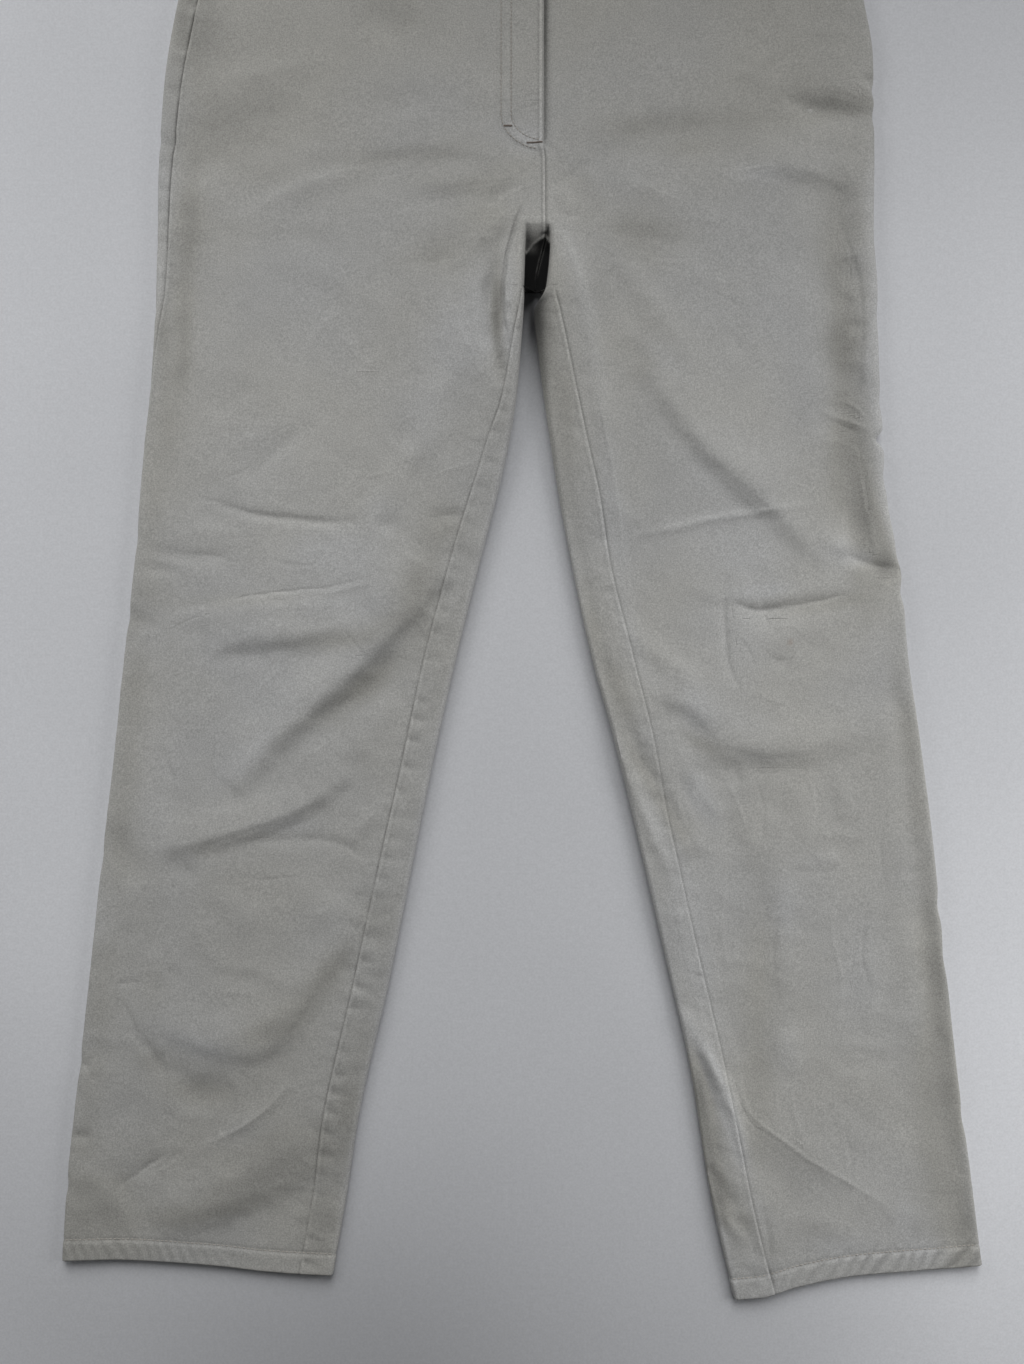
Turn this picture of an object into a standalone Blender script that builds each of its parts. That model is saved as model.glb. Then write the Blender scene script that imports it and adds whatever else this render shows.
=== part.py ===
"""Chino trousers, laid flat with the front up.

Everything is worked out in millimetres in the garment's own layout frame:
  x  from the centre front line, positive towards the wearer's left leg
  y  from the crotch, positive towards the waist
  z  up from the surface that the trousers lie on
and moved at the end so that the origin is the middle of the underside.

Each leg is a flattened tube of two panels.  The back panel lies on the
surface and turns up round the inner edge as far as the inseam; the front
panel lies on it.  Above the crotch the two tubes join into one.  The front
forks go down between the legs as a short web and meet the back forks there.
"""
import bpy
import bmesh
import math
import numpy as np

MM = 0.001

# ------------------------------------------------------------ driving sizes
WALL = 1.0            # panel cloth
HEM_WALL = 1.8        # cloth and the turned-up allowance inside it
BAND_WALL = 2.0       # waistband, cloth folded double over its stiffening
FACING_WALL = 0.8
TAPE_WALL = 0.6
SEAM_GAP = 0.3        # between neighbours at a seam
HEM_DEPTH = 15.0      # turned-up allowance
WAIST_SEAM = 236.0    # crotch to the waistband's lower edge
BAND_HEIGHT = 35.0
BACK_RISE = 10.0      # how much further the back goes up at its middle
WEB_END = -42.0       # y of the fork point, where the inseams start
FLY_END = 55.0        # y where the fly closes into the centre front seam
FLY_WIDTH = 31.0      # centre front edge to the fly's outer stitching
FLY_LIFT = 2.4        # right front over facing and left front
FLY_UNDERLAP = 5.0
BAND_UNDERLAP = 30.0
BAND_LIFT = 2.3
BUTTON_DIAMETER = 15.0
BUTTON_THICK = 2.4
ZIP_CENTRE = -12.0
ZIP_TAPE = 11.0

# ------------------------------------------------- section tables (mm)
# outer, inner : x of the leg's two edges; above the crotch inner is where
#                the leg's inner edge starts to show
# outseam      : distance of the outseam in from the outer edge, on the
#                front if positive and on the underside if negative
# inseam       : distance of the inseam in from the inner edge, on the front
# high_out, high_mid, high_in : height at the outer edge, middle, inner edge
# round_out, round_in : plan width of the rounded edges
COLUMNS = ("y", "outer", "inner", "outseam", "inseam",
           "high_out", "high_mid", "high_in", "round_out", "round_in")
RIGHT_LEG = (
    (271.0, -224.0, -13.0, 15.0,  0.0,  7.0, 4.4,  5.4, 3.5, 4.0),
    (236.0, -233.0, -13.0, 15.0,  0.0,  7.5, 5.0,  5.4, 3.5, 4.0),
    (160.0, -255.0, -13.0, 15.0,  0.0,  8.0, 5.2,  5.4, 4.0, 4.0),
    (90.0,  -266.0, -13.0, 13.0,  0.0,  8.0, 5.4,  6.0, 4.0, 4.0),
    (30.0,  -269.0, -13.0, 10.0,  0.0,  8.0, 5.6,  9.0, 4.0, 4.0),
    (0.0,   -269.5, -13.2,  9.0,  0.0,  8.0, 5.8, 12.5, 4.0, 4.5),
    (-42.0, -270.3, -14.4,  7.0,  0.5,  8.0, 6.0, 14.0, 4.0, 5.0),
    (-77.0, -272.0, -16.3,  3.0,  6.0,  8.0, 6.0, 13.0, 4.0, 5.0),
    (-118.0, -275.0, -20.0, 0.5, 10.0,  7.5, 5.8, 11.0, 4.0, 5.0),
    (-152.0, -278.7, -25.7, 0.0, 16.0,  7.5, 5.6, 10.0, 4.0, 4.5),
    (-231.0, -285.5, -45.2, -1.0, 21.0, 7.5, 5.4,  9.0, 4.0, 4.5),
    (-295.0, -292.5, -61.2, -2.0, 22.0, 7.5, 5.4,  8.5, 4.0, 4.0),
    (-366.0, -300.0, -77.0, -2.0, 21.5, 7.0, 5.4,  8.0, 3.5, 4.0),
    (-439.0, -308.5, -91.7, -2.0, 23.0, 7.0, 5.4,  7.5, 3.5, 3.5),
    (-523.0, -317.5, -108.4, -2.0, 24.5, 6.5, 5.2, 7.0, 3.5, 3.5),
    (-614.0, -327.5, -129.3, -2.0, 24.5, 6.5, 5.0, 6.5, 3.0, 3.5),
    (-669.0, -333.0, -138.3, -2.0, 23.0, 6.0, 4.8, 6.0, 3.0, 3.0),
    (-722.0, -336.0, -148.0, -2.0, 23.0, 5.8, 4.8, 5.8, 3.0, 3.0),
)
LEFT_LEG = (
    (271.0, 194.0,   4.0, -16.0,  0.0,  7.0, 4.4,  5.4, 3.5, 4.0),
    (236.0, 205.0,   4.0, -16.0,  0.0,  7.5, 5.0,  5.4, 3.5, 4.0),
    (160.0, 221.5,   4.0, -16.0,  0.0,  8.0, 5.2,  5.4, 4.5, 4.0),
    (119.0, 228.0,   4.0, -16.0,  0.0,  8.5, 5.4,  5.6, 5.0, 4.0),
    (51.0,  229.0,   4.0, -16.0,  0.0,  8.5, 5.6,  8.0, 5.0, 4.0),
    (0.0,   228.5,   3.5, -16.0,  0.0,  8.5, 5.8, 12.5, 5.0, 4.5),
    (-42.0, 231.2,  -1.0, -16.0,  2.0,  8.5, 6.0, 14.0, 6.0, 6.0),
    (-58.0, 231.4,  -8.3, -16.0, 17.0,  8.5, 6.0, 13.5, 6.0, 12.0),
    (-88.0, 232.0,  -5.6, -16.0, 22.0,  8.5, 5.8, 12.0, 6.0, 11.0),
    (-141.0, 235.0,  1.4, -15.0, 26.5,  8.5, 5.6, 10.0, 6.0, 7.0),
    (-188.0, 237.5,  8.5, -14.0, 29.5,  8.5, 5.4,  9.0, 6.0, 5.0),
    (-236.0, 247.5, 17.3, -12.0, 28.5,  8.0, 5.4,  8.5, 5.0, 4.5),
    (-295.0, 252.5, 30.0, -10.0, 30.5,  7.5, 5.4,  8.0, 4.0, 4.0),
    (-352.0, 260.5, 45.2, -8.0, 29.5,   7.5, 5.4,  8.0, 4.0, 4.0),
    (-414.0, 268.5, 61.0, -8.0, 25.5,   7.5, 5.4,  8.0, 4.0, 4.0),
    (-495.0, 277.0, 80.6, -8.0, 24.0,   7.0, 5.2,  7.5, 3.5, 4.0),
    (-587.0, 287.0, 100.8, -8.0, 25.0,  6.5, 5.0,  7.0, 3.5, 3.5),
    (-657.0, 295.5, 112.0, -8.0, 29.0,  6.0, 4.8,  6.5, 3.0, 3.5),
    (-732.0, 304.0, 131.0, -8.0, 29.0,  5.8, 4.8,  6.0, 3.0, 3.0),
)
# Height at the centre front line, where the right and left halves meet.
CENTRE_COLUMNS = ("y", "height")
CENTRE = ((271.0, 5.4), (160.0, 5.4), (100.0, 5.6), (55.0, 6.4), (20.0, 9.0),
          (0.0, 12.0), (-42.0, 14.0))
# The hem's bottom edge.
HEM_COLUMNS = ("x", "y")
RIGHT_HEM = ((-336.0, -717.0), (-304.0, -716.5), (-231.0, -720.5),
             (-190.0, -725.0), (-148.0, -727.0))
LEFT_HEM = ((131.0, -744.0), (150.0, -742.5), (174.0, -736.0),
            (215.0, -728.0), (260.0, -724.0), (304.0, -720.0))
# The largest folds of the front: straight troughs (height below 0) and
# ridges (above 0) from (xa, ya) to (xb, yb).
FOLD_COLUMNS = ("xa", "ya", "xb", "yb", "width", "height")
RIGHT_FOLDS = (
    (-77.0, -252.0, -130.0, -313.0, 18.0, -1.4),
    (-130.0, -313.0, -215.0, -393.0, 20.0, -1.8),
    (-140.0, -372.0, -256.0, -434.0, 16.0, -1.8),
    (-281.0, -558.0, -196.0, -576.0, 22.0, -1.2),
    (-196.0, -576.0, -135.0, -495.0, 22.0, -1.4),
    (-256.0, -272.0, -122.0, -243.0, 14.0, 1.4),
)
LEFT_FOLDS = (
    (63.0, -106.0, 192.0, -236.0, 20.0, -1.6),
    (84.0, -98.0, 205.0, -214.0, 16.0, 1.2),
    (76.0, -321.0, 158.0, -365.0, 24.0, -1.5),
    (158.0, -365.0, 238.0, -355.0, 24.0, -1.2),
    (131.0, -260.0, 204.0, -254.0, 14.0, -1.4),
    (82.0, -377.0, 112.0, -430.0, 16.0, -1.4),
)
# y of the rings of points down a leg; the last two lie on the hem's fold.
RINGS = (236.0, 205.0, 160.0, 120.0, 88.0, 72.0, 64.0, 58.0, 51.0, 38.0,
         20.0, 6.0, -2.0, -12.0, -26.0, -42.0, -46.0, -62.0, -88.0, -118.0,
         -150.0, -182.0, -214.0, -240.0, -262.0, -290.0, -320.0, -350.0,
         -380.0, -410.0, -440.0, -480.0, -520.0, -560.0, -600.0, -640.0,
         -680.0)
HEM_START = -560.0     # the rings turn parallel to the hem from here down


# ---------------------------------------------------------------- functions
def column(table, columns, name):
    return np.array([row[columns.index(name)] for row in table], float)


def curve(xs, ys, x):
    """Monotone cubic through the points (xs rising)."""
    xs, ys = np.asarray(xs, float), np.asarray(ys, float)
    if xs[0] > xs[-1]:
        xs, ys = xs[::-1], ys[::-1]
    h = np.diff(xs)
    d = np.diff(ys) / h
    m = np.zeros_like(ys)
    for i in range(1, len(xs) - 1):
        if d[i - 1] * d[i] > 0:
            w1, w2 = 2 * h[i] + h[i - 1], h[i] + 2 * h[i - 1]
            m[i] = (w1 + w2) / (w1 / d[i - 1] + w2 / d[i])
    m[0], m[-1] = d[0], d[-1]
    x = float(min(max(x, xs[0]), xs[-1]))
    i = int(min(max(np.searchsorted(xs, x) - 1, 0), len(h) - 1))
    t = (x - xs[i]) / h[i]
    return ((2 * t**3 - 3 * t**2 + 1) * ys[i] + (t**3 - 2 * t**2 + t) * h[i] * m[i]
            + (3 * t**2 - 2 * t**3) * ys[i + 1] + (t**3 - t**2) * h[i] * m[i + 1])


def smooth(edge0, edge1, x):
    t = min(max((x - edge0) / (edge1 - edge0), 0.0), 1.0)
    return t * t * (3 - 2 * t)


LEGS = {"right": (RIGHT_LEG, 1.0, RIGHT_HEM, RIGHT_FOLDS),
        "left": (LEFT_LEG, -1.0, LEFT_HEM, LEFT_FOLDS)}


def sizes(leg, y):
    table = LEGS[leg][0]
    ys = column(table, COLUMNS, "y")
    q = {n: curve(ys, column(table, COLUMNS, n), y) for n in COLUMNS[1:]}
    if y > WEB_END:
        q["high_in"] = curve(column(CENTRE, CENTRE_COLUMNS, "y"),
                             column(CENTRE, CENTRE_COLUMNS, "height"), y)
    return q


def fold_height(leg, x, y):
    total = 0.0
    for xa, ya, xb, yb, width, height in LEGS[leg][3]:
        dx, dy = xb - xa, yb - ya
        length = math.hypot(dx, dy)
        along = ((x - xa) * dx + (y - ya) * dy) / length
        across = ((x - xa) * dy - (y - ya) * dx) / length
        past = max(-along, along - length, 0.0)
        r2 = (across * across + past * past) / (width * 0.6) ** 2
        total += height * math.exp(-r2)
    return total


def fly_side(y):
    """x of the fly's stitched outer edge at y: straight, then a J's foot."""
    knee = FLY_END + 25.0
    if y >= knee:
        return -FLY_WIDTH
    t = min((knee - y) / 25.0, 1.0)
    return -FLY_WIDTH * math.sqrt(1.0 - t * t)


def fly_lift(x, y):
    if y < FLY_END - 9.0 or x > 0.6:
        return 0.0
    rise = smooth(FLY_END - 9.0, FLY_END + 2.0, y)
    edge = fly_side(max(y, FLY_END + 6.0))
    return FLY_LIFT * rise * smooth(edge - 6.0, edge, x)


def centre_line(y):
    """x of the seam that joins the right and left panels."""
    return 0.0 if y > 0.0 else -6.0 * smooth(0.0, -42.0, y)


def web_height(y, top):
    """Height of the front forks between the legs."""
    depth = smooth(4.0, -16.0, y)
    floor = 3.6 - 1.1 * smooth(-16.0, -42.0, y)
    return top + (floor - top) * depth


def half_section(leg, y):
    """The outer line of one half of the garment at y, as two dense lines
    from the outer edge: over the top and along the underside."""
    q = sizes(leg, y)
    towards = LEGS[leg][1]
    outer = q["outer"]
    joined = y >= WEB_END - 0.01
    inner = centre_line(y) if joined else q["inner"]
    wide = abs(inner - outer)
    lip = abs(q["inner"] - outer)              # plan place of the inner edge
    ro, ri = q["round_out"], q["round_in"]
    ho, hm, hi = q["high_out"], q["high_mid"], q["high_in"]
    shoulder = lip - ri

    def height(u):
        z = hm
        z += (ho - hm) * math.cos(min(max((u - ro) / 42.0, 0), 1) * math.pi / 2) ** 2
        z += (hi - hm) * math.cos(min(max((shoulder - u) / 60.0, 0), 1) * math.pi / 2) ** 2
        x = outer + towards * u
        z += fold_height(leg, x, y)
        return max(z, 2.6)

    top = []
    for a in np.linspace(0, math.pi / 2, 13):
        zs = height(ro)
        top.append((ro * (1 - math.cos(a)), zs / 2 + zs / 2 * math.sin(a)))
    end = shoulder
    for u in np.linspace(ro, end, 160)[1:]:
        top.append((u, height(u)))
    zs = height(end)
    if joined:
        floor = web_height(y, zs)
        deep = zs - floor
        reach = min(ri, wide - end - 0.5)
        for a in np.linspace(0, math.pi / 2, 11)[1:]:
            top.append((end + reach * math.sin(a), floor + deep * math.cos(a)))
        for u in np.linspace(end + reach, wide, 24)[1:]:
            top.append((u, floor))
        under_end = wide
    else:
        for a in np.linspace(0, math.pi / 2, 13)[1:]:
            top.append((end + ri * math.sin(a), zs / 2 + zs / 2 * math.cos(a)))
        under_end = lip - ri
    under = []
    zo = height(ro)
    for a in np.linspace(0, math.pi / 2, 13):
        under.append((ro * (1 - math.cos(a)), zo / 2 - zo / 2 * math.sin(a)))
    for u in np.linspace(ro, under_end, 60)[1:]:
        under.append((u, 0.0))
    if not joined:
        for a in np.linspace(0, math.pi / 2, 13)[1:]:
            under.append((under_end + ri * math.sin(a), zs / 2 - zs / 2 * math.cos(a)))
    return q, joined, wide, lip, np.array(top), np.array(under), outer, towards


class Section:
    """One ring of the garment's outer line, walked by length: 0 at the outer
    edge, positive over the top, negative along the underside and, on a leg,
    on round the inner edge."""

    def __init__(self, leg, y, wall):
        (self.q, self.joined, self.wide, self.lip, top, under,
         self.outer, self.towards) = half_section(leg, y)
        self.leg, self.y, self.wall = leg, y, wall
        if self.joined:
            line = np.vstack([under[::-1], top[1:]])
            zero = len(under) - 1
        else:
            # a leg closes: the top comes again beyond the underside's end
            again = top[1:-1]
            line = np.vstack([again, under[::-1], top[1:]])
            zero = len(again) + len(under) - 1
        self.line = line
        step = np.hypot(*np.diff(line, axis=0).T)
        length = np.concatenate([[0.0], np.cumsum(step)])
        self.length = length - length[zero]
        self.zero = zero
        self.n_under = len(under)
        tangent = np.gradient(line, axis=0)
        tangent /= np.maximum(np.hypot(*tangent.T)[:, None], 1e-9)
        # walking outer edge -> top -> inner edge keeps the inside on the right
        self.inward = np.stack([tangent[:, 1], -tangent[:, 0]], 1)
        self.top_len = self.length[-1]
        self.under_len = -self.length[zero - len(under) + 1]

    def top_at(self, u):
        """Length along the top at plan distance u from the outer edge."""
        return float(np.interp(u, self.line[self.zero:, 0], self.length[self.zero:]))

    def under_at(self, u):
        a = self.zero - self.n_under + 1
        seg, lens = self.line[a:self.zero + 1][::-1], self.length[a:self.zero + 1][::-1]
        return float(np.interp(u, seg[:, 0], lens))

    def outseam(self):
        d = self.q["outseam"]
        return self.top_at(d) if d >= 0 else self.under_at(-d)

    def inseam(self):
        return self.top_at(self.lip - self.q["inseam"])

    def point(self, s, depth=0.0):
        u = np.interp(s, self.length, self.line[:, 0])
        z = np.interp(s, self.length, self.line[:, 1])
        nu = np.interp(s, self.length, self.inward[:, 0])
        nz = np.interp(s, self.length, self.inward[:, 1])
        k = max(math.hypot(nu, nz), 1e-9)
        x = self.outer + self.towards * u
        lift = fly_lift(x, self.y) if (self.leg == "right" and s > 0) else 0.0
        u, z = u + nu / k * depth, z + nz / k * depth + lift
        return np.array([self.outer + self.towards * u, z])


def hem_y(leg, x):
    t = LEGS[leg][2]
    return curve(column(t, HEM_COLUMNS, "x"), column(t, HEM_COLUMNS, "y"), x)


def place_y(leg, ring, x, on_back):
    """y of a point on a ring: turned parallel to the hem low down, and
    raised at the middle of the back near the waist."""
    level = {"right": -722.0, "left": -732.0}[leg]
    y = ring
    if ring < HEM_START:
        y += (hem_y(leg, x) - level) * smooth(HEM_START, level, ring)
    if on_back and ring > 60.0:
        y += BACK_RISE * smooth(60.0, WAIST_SEAM, ring) * math.cos(
            min(abs(x + 15.0) / 215.0, 1.0) * math.pi / 2) ** 2
    return y


def rings_of(leg):
    level = {"right": -722.0, "left": -732.0}[leg]
    return list(RINGS) + [level + HEM_DEPTH + 1.0, level + HEM_DEPTH, level]


def wall_at(leg, ring):
    level = {"right": -722.0, "left": -732.0}[leg]
    return HEM_WALL if ring <= level + HEM_DEPTH + 0.01 else WALL


# ------------------------------------------------------------- mesh helpers
MATERIALS = {}


def material(name, colour, roughness, metallic=0.0):
    if name not in MATERIALS:
        m = bpy.data.materials.new(name)
        m.use_nodes = True
        p = m.node_tree.nodes["Principled BSDF"]
        p.inputs["Base Color"].default_value = (*colour, 1.0)
        p.inputs["Roughness"].default_value = roughness
        p.inputs["Metallic"].default_value = metallic
        MATERIALS[name] = m
    return MATERIALS[name]


CLOTH = dict(colour=(0.305, 0.305, 0.285), roughness=0.9)
BUILT = []


def finish(name, bm, mat):
    bmesh.ops.remove_doubles(bm, verts=bm.verts, dist=1e-5)
    bmesh.ops.recalc_face_normals(bm, faces=bm.faces)
    mesh = bpy.data.meshes.new(name)
    bm.to_mesh(mesh)
    bm.free()
    ob = bpy.data.objects.new(name, mesh)
    bpy.context.scene.collection.objects.link(ob)
    ob.data.materials.append(material(name + "_cloth" if mat is CLOTH else name + "_mat", **mat))
    BUILT.append(ob)
    return ob


def shell(name, outer, inner, mat=CLOTH):
    """A wall between two grids of points (rings x places across)."""
    bm = bmesh.new()
    rows, cols = len(outer), len(outer[0])
    a = [[bm.verts.new(tuple(p * MM for p in pt)) for pt in row] for row in outer]
    b = [[bm.verts.new(tuple(p * MM for p in pt)) for pt in row] for row in inner]
    for i in range(rows - 1):
        for j in range(cols - 1):
            bm.faces.new((a[i][j], a[i + 1][j], a[i + 1][j + 1], a[i][j + 1]))
            bm.faces.new((b[i][j], b[i][j + 1], b[i + 1][j + 1], b[i + 1][j]))
    for i in range(rows - 1):
        bm.faces.new((a[i][0], b[i][0], b[i + 1][0], a[i + 1][0]))
        bm.faces.new((a[i][-1], a[i + 1][-1], b[i + 1][-1], b[i][-1]))
    for j in range(cols - 1):
        bm.faces.new((a[0][j], a[0][j + 1], b[0][j + 1], b[0][j]))
        bm.faces.new((a[-1][j], b[-1][j], b[-1][j + 1], a[-1][j + 1]))
    return finish(name, bm, mat)


# ------------------------------------------------------------------ panels
def front_places(sec):
    """Lengths at which a front panel's points stand across a ring."""
    half = SEAM_GAP / 2
    start = sec.outseam() + half
    q = sec.q
    u1 = max(q["round_out"], q["outseam"] + 5.0)
    first = np.linspace(start, sec.top_at(u1), 5 if q["outseam"] < 0 else 4)
    if sec.leg == "right":
        first = np.linspace(start, sec.top_at(u1), 4)
    if sec.joined:
        if sec.y > 6.5:                       # hips: points follow the fly
            end_x = 0.0 if sec.y >= FLY_END - 1 else -half
            if sec.leg == "left":
                end_x = -FLY_UNDERLAP if sec.y > FLY_END + 6 else half
            if sec.leg == "right":
                side = fly_side(max(sec.y, FLY_END + 6.0))
                xs = (side - 6.0, side, side * 0.62, side * 0.3, end_x)
            else:
                xs = (30.0, 20.0, 12.0, 6.0, end_x)
            last = []
            for x in xs:
                u = abs(x - sec.outer)
                s = sec.top_at(min(u, sec.wide))
                last.append(s + max(0.0, u - sec.wide))
            last = np.array(last)
        else:                                 # the web between the legs
            foot = sec.lip - q["round_in"]
            reach = min(q["round_in"], sec.wide - foot - 0.5)
            us = (foot - 8.0, foot, foot + reach * 0.75, foot + reach * 0.995, sec.wide)
            last = np.array([sec.top_at(u) for u in us])
            last[-1] -= half
    else:
        stop = sec.inseam() - half
        u2 = sec.lip - max(q["round_in"] + 8.0, q["inseam"] + 12.0)
        last = np.linspace(sec.top_at(u2), stop, 5)
    middle = np.linspace(first[-1], last[0], 8)[1:-1]
    return np.concatenate([first, middle, last])


def back_places(sec):
    """The same for a back panel, which goes the other way round."""
    half = SEAM_GAP / 2
    start = sec.outseam() - half
    q = sec.q
    ro = sec.under_at(q["round_out"])
    if q["outseam"] >= 0:
        turn = np.linspace(start, ro, 7)
        turn[2:-2] = np.linspace(min(start, sec.top_at(q["round_out"] * 0.6)), ro, 5)[1:-1]
        turn = np.sort(turn)[::-1]
    else:
        turn = np.linspace(start, min(ro, start - 4.0), 7)
    if sec.joined:
        end = -sec.under_len + half
        near = end + 20.0                     # the last points, near the seam
        flat = np.linspace(turn[-1], near, 5)[1:]
        return np.concatenate([turn, flat, np.linspace(near, end, 8)[1:]])
    bottom = sec.under_at(sec.lip - q["round_in"])
    flat = np.linspace(turn[-1], bottom, 5)[1:]
    edge = -sec.under_len
    over = -(sec.under_len + (sec.top_len - sec.inseam())) + half
    up = np.linspace(bottom, over, 8)[1:]
    return np.concatenate([turn, flat, up])


def panel(name, leg, places, on_back):
    outer, inner = [], []
    for ring in rings_of(leg):
        wall = wall_at(leg, ring)
        sec = Section(leg, ring, wall)
        row_o, row_i = [], []
        for s in places(sec):
            x, z = sec.point(s)
            xi, zi = sec.point(s, wall)
            # the fly's underlap runs on level past the centre line
            past = s - sec.top_len
            if sec.joined and past > 0:
                x += sec.towards * past
                xi = x
                zi = z - wall
            y = place_y(leg, ring, x, on_back)
            row_o.append((x, y, z))
            row_i.append((xi, y, zi))
        outer.append(row_o)
        inner.append(row_i)
    return shell(name, outer, inner)


# --------------------------------------------------------------- waistband
def band_piece(name, pieces, rows, lift, wall):
    """A stretch of waistband.  pieces lists (leg, lengths across) in order
    from the wearer's right outseam."""
    outer, inner = [], []
    for ring in rows:
        row_o, row_i = [], []
        for leg, places in pieces:
            sec = Section(leg, ring, wall)
            for s in places(sec):
                x, z = sec.point(s)
                xi, zi = sec.point(s, wall)
                base_lift = fly_lift(x, ring) if (leg == "right" and s > 0) else 0.0
                z, zi = z - base_lift, zi - base_lift
                past = s - sec.top_len
                if past > 0:
                    x += sec.towards * past
                    xi, zi = x, z - wall
                up = lift(x)
                y = ring
                if s < 0:
                    y += BACK_RISE * math.cos(min(abs(x + 15.0) / 215.0, 1.0) * math.pi / 2) ** 2
                row_o.append((x, y, z + up))
                row_i.append((xi, y, zi + up))
        outer.append(row_o)
        inner.append(row_i)
    return shell(name, outer, inner)


def no_lift(x):
    return 0.0


def band_lift(x):
    return BAND_LIFT * smooth(-BAND_UNDERLAP - 9.0, -BAND_UNDERLAP - 1.5, x)


def waistband():
    low, high = WAIST_SEAM + SEAM_GAP, WAIST_SEAM + BAND_HEIGHT
    rows = (low, (low + high) / 2, high)
    half = SEAM_GAP / 2

    def right_front(sec):
        a = np.linspace(sec.outseam() + half, sec.top_at(60.0), 4)
        ends = [sec.top_at(abs(x - sec.outer)) for x in (-40.0, -35.0, -31.5, -16.0, -0.2)]
        b = np.linspace(a[-1], ends[0], 6)[1:-1]
        return np.concatenate([a, b, ends])

    def left_front(sec):
        a = np.linspace(sec.outseam() + half, sec.top_at(sec.q["round_out"]), 7)
        b = np.linspace(a[-1], sec.top_at(sec.wide), 9)[1:]
        return np.concatenate([a, b, [sec.top_len + BAND_UNDERLAP]])

    def right_back(sec):
        ro = sec.under_at(sec.q["round_out"])
        a = np.linspace(sec.outseam() - half, sec.top_at(sec.q["round_out"] * 0.7), 3)
        b = np.linspace(a[-1], ro, 6)[1:]
        c = np.linspace(ro, -sec.under_len, 8)[1:]
        return np.concatenate([a, b, c])

    def left_back(sec):
        return np.linspace(-sec.under_len, sec.outseam() - half, 7)[1:]

    band_piece("waistband_front_right", [("right", right_front)], rows, band_lift, BAND_WALL)
    band_piece("waistband_front_left", [("left", left_front)], rows, no_lift, BAND_WALL)
    band_piece("waistband_back", [("right", right_back), ("left", left_back)],
               rows, no_lift, BAND_WALL)


# ------------------------------------------------------------- fly and zip
def front_height(leg, x, y):
    sec = Section(leg, y, WALL)
    u = abs(x - sec.outer)
    return sec.point(sec.top_at(min(u, sec.wide)))[1]


def fly_facing():
    rows = [r for r in RINGS if FLY_END + 2 < r <= WAIST_SEAM]
    outer, inner = [], []
    for y in rows:
        side = fly_side(max(y, FLY_END + 6.0))
        xs = (side + 0.6, side * 0.62, side * 0.3, -0.6)
        row_o, row_i = [], []
        for x in xs:
            z = front_height("right", x, y) - WALL - SEAM_GAP
            row_o.append((x, y - 0.4 * (y == WAIST_SEAM), z))
            row_i.append((x, y - 0.4 * (y == WAIST_SEAM), z - FACING_WALL))
        outer.append(row_o)
        inner.append(row_i)
    shell("fly_facing", outer, inner)


def zip_height(y):
    """Top of the zip's tapes, under the left front's edge."""
    return front_height("left", 0.4, y) - WALL - SEAM_GAP - 0.1


def zip_tapes():
    rows = [233.0] + [r for r in RINGS if FLY_END + 8 < r < WAIST_SEAM]
    for name, x0, x1 in (("zip_tape_right", ZIP_CENTRE - 0.7 - ZIP_TAPE, ZIP_CENTRE - 0.7),
                         ("zip_tape_left", ZIP_CENTRE + 0.7, ZIP_CENTRE + 0.7 + ZIP_TAPE)):
        outer, inner = [], []
        for y in rows:
            z = zip_height(y)
            outer.append([(x, y, z) for x in np.linspace(x0, x1, 3)])
            inner.append([(x, y, z - TAPE_WALL) for x in np.linspace(x0, x1, 3)])
        shell(name, outer, inner, dict(colour=(0.30, 0.29, 0.26), roughness=0.8))


def box(bm, x, y, z, taper=1.0):
    """A block between the x, y and z pairs; taper narrows its low-y end."""
    cx = sum(x) / 2
    v = []
    for zz in z:
        for xx, yy in ((x[0], y[0]), (x[1], y[0]), (x[1], y[1]), (x[0], y[1])):
            k = taper if yy == y[0] else 1.0
            v.append(bm.verts.new(((cx + (xx - cx) * k) * MM, yy * MM, zz * MM)))
    for f in ((0, 3, 2, 1), (4, 5, 6, 7), (0, 1, 5, 4), (1, 2, 6, 5), (2, 3, 7, 6), (3, 0, 4, 7)):
        bm.faces.new([v[i] for i in f])


def zip_slider():
    y = 226.0
    t = zip_height(y)
    metal = dict(colour=(0.55, 0.50, 0.40), roughness=0.35, metallic=1.0)
    blocks = (
        ((ZIP_CENTRE - 4, ZIP_CENTRE + 4), (y - 4.5, y + 4.5), (t - TAPE_WALL - 1.2, t - TAPE_WALL - 0.3), 0.7),
        ((ZIP_CENTRE - 4, ZIP_CENTRE + 4), (y - 4.5, y + 4.5), (t + 0.3, t + 1.1), 0.7),
        ((ZIP_CENTRE - 0.4, ZIP_CENTRE + 0.4), (y + 1.5, y + 4.2), (t - TAPE_WALL - 0.8, t + 0.8), 1.0),
        ((ZIP_CENTRE - 2.6, ZIP_CENTRE + 2.6), (y - 26.0, y - 3.8), (t + 0.4, t + 1.0), 0.8),
    )
    obs = []
    for i, (bx, by, bz, taper) in enumerate(blocks):
        bm = bmesh.new()
        box(bm, bx, by, bz, taper)
        bmesh.ops.recalc_face_normals(bm, faces=bm.faces)
        mesh = bpy.data.meshes.new("zip_slider" if i == 0 else "slider_block%d" % i)
        bm.to_mesh(mesh)
        bm.free()
        ob = bpy.data.objects.new(mesh.name, mesh)
        bpy.context.scene.collection.objects.link(ob)
        obs.append(ob)
    body = obs[0]
    body.data.materials.append(material("zip_metal", **metal))
    for ob in obs[1:]:
        mod = body.modifiers.new("join_" + ob.name, "BOOLEAN")
        mod.operation, mod.solver, mod.object = "UNION", "EXACT", ob
        ob.hide_render = True
        ob.display_type = "WIRE"
    BUILT.append(body)
    return obs


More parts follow.
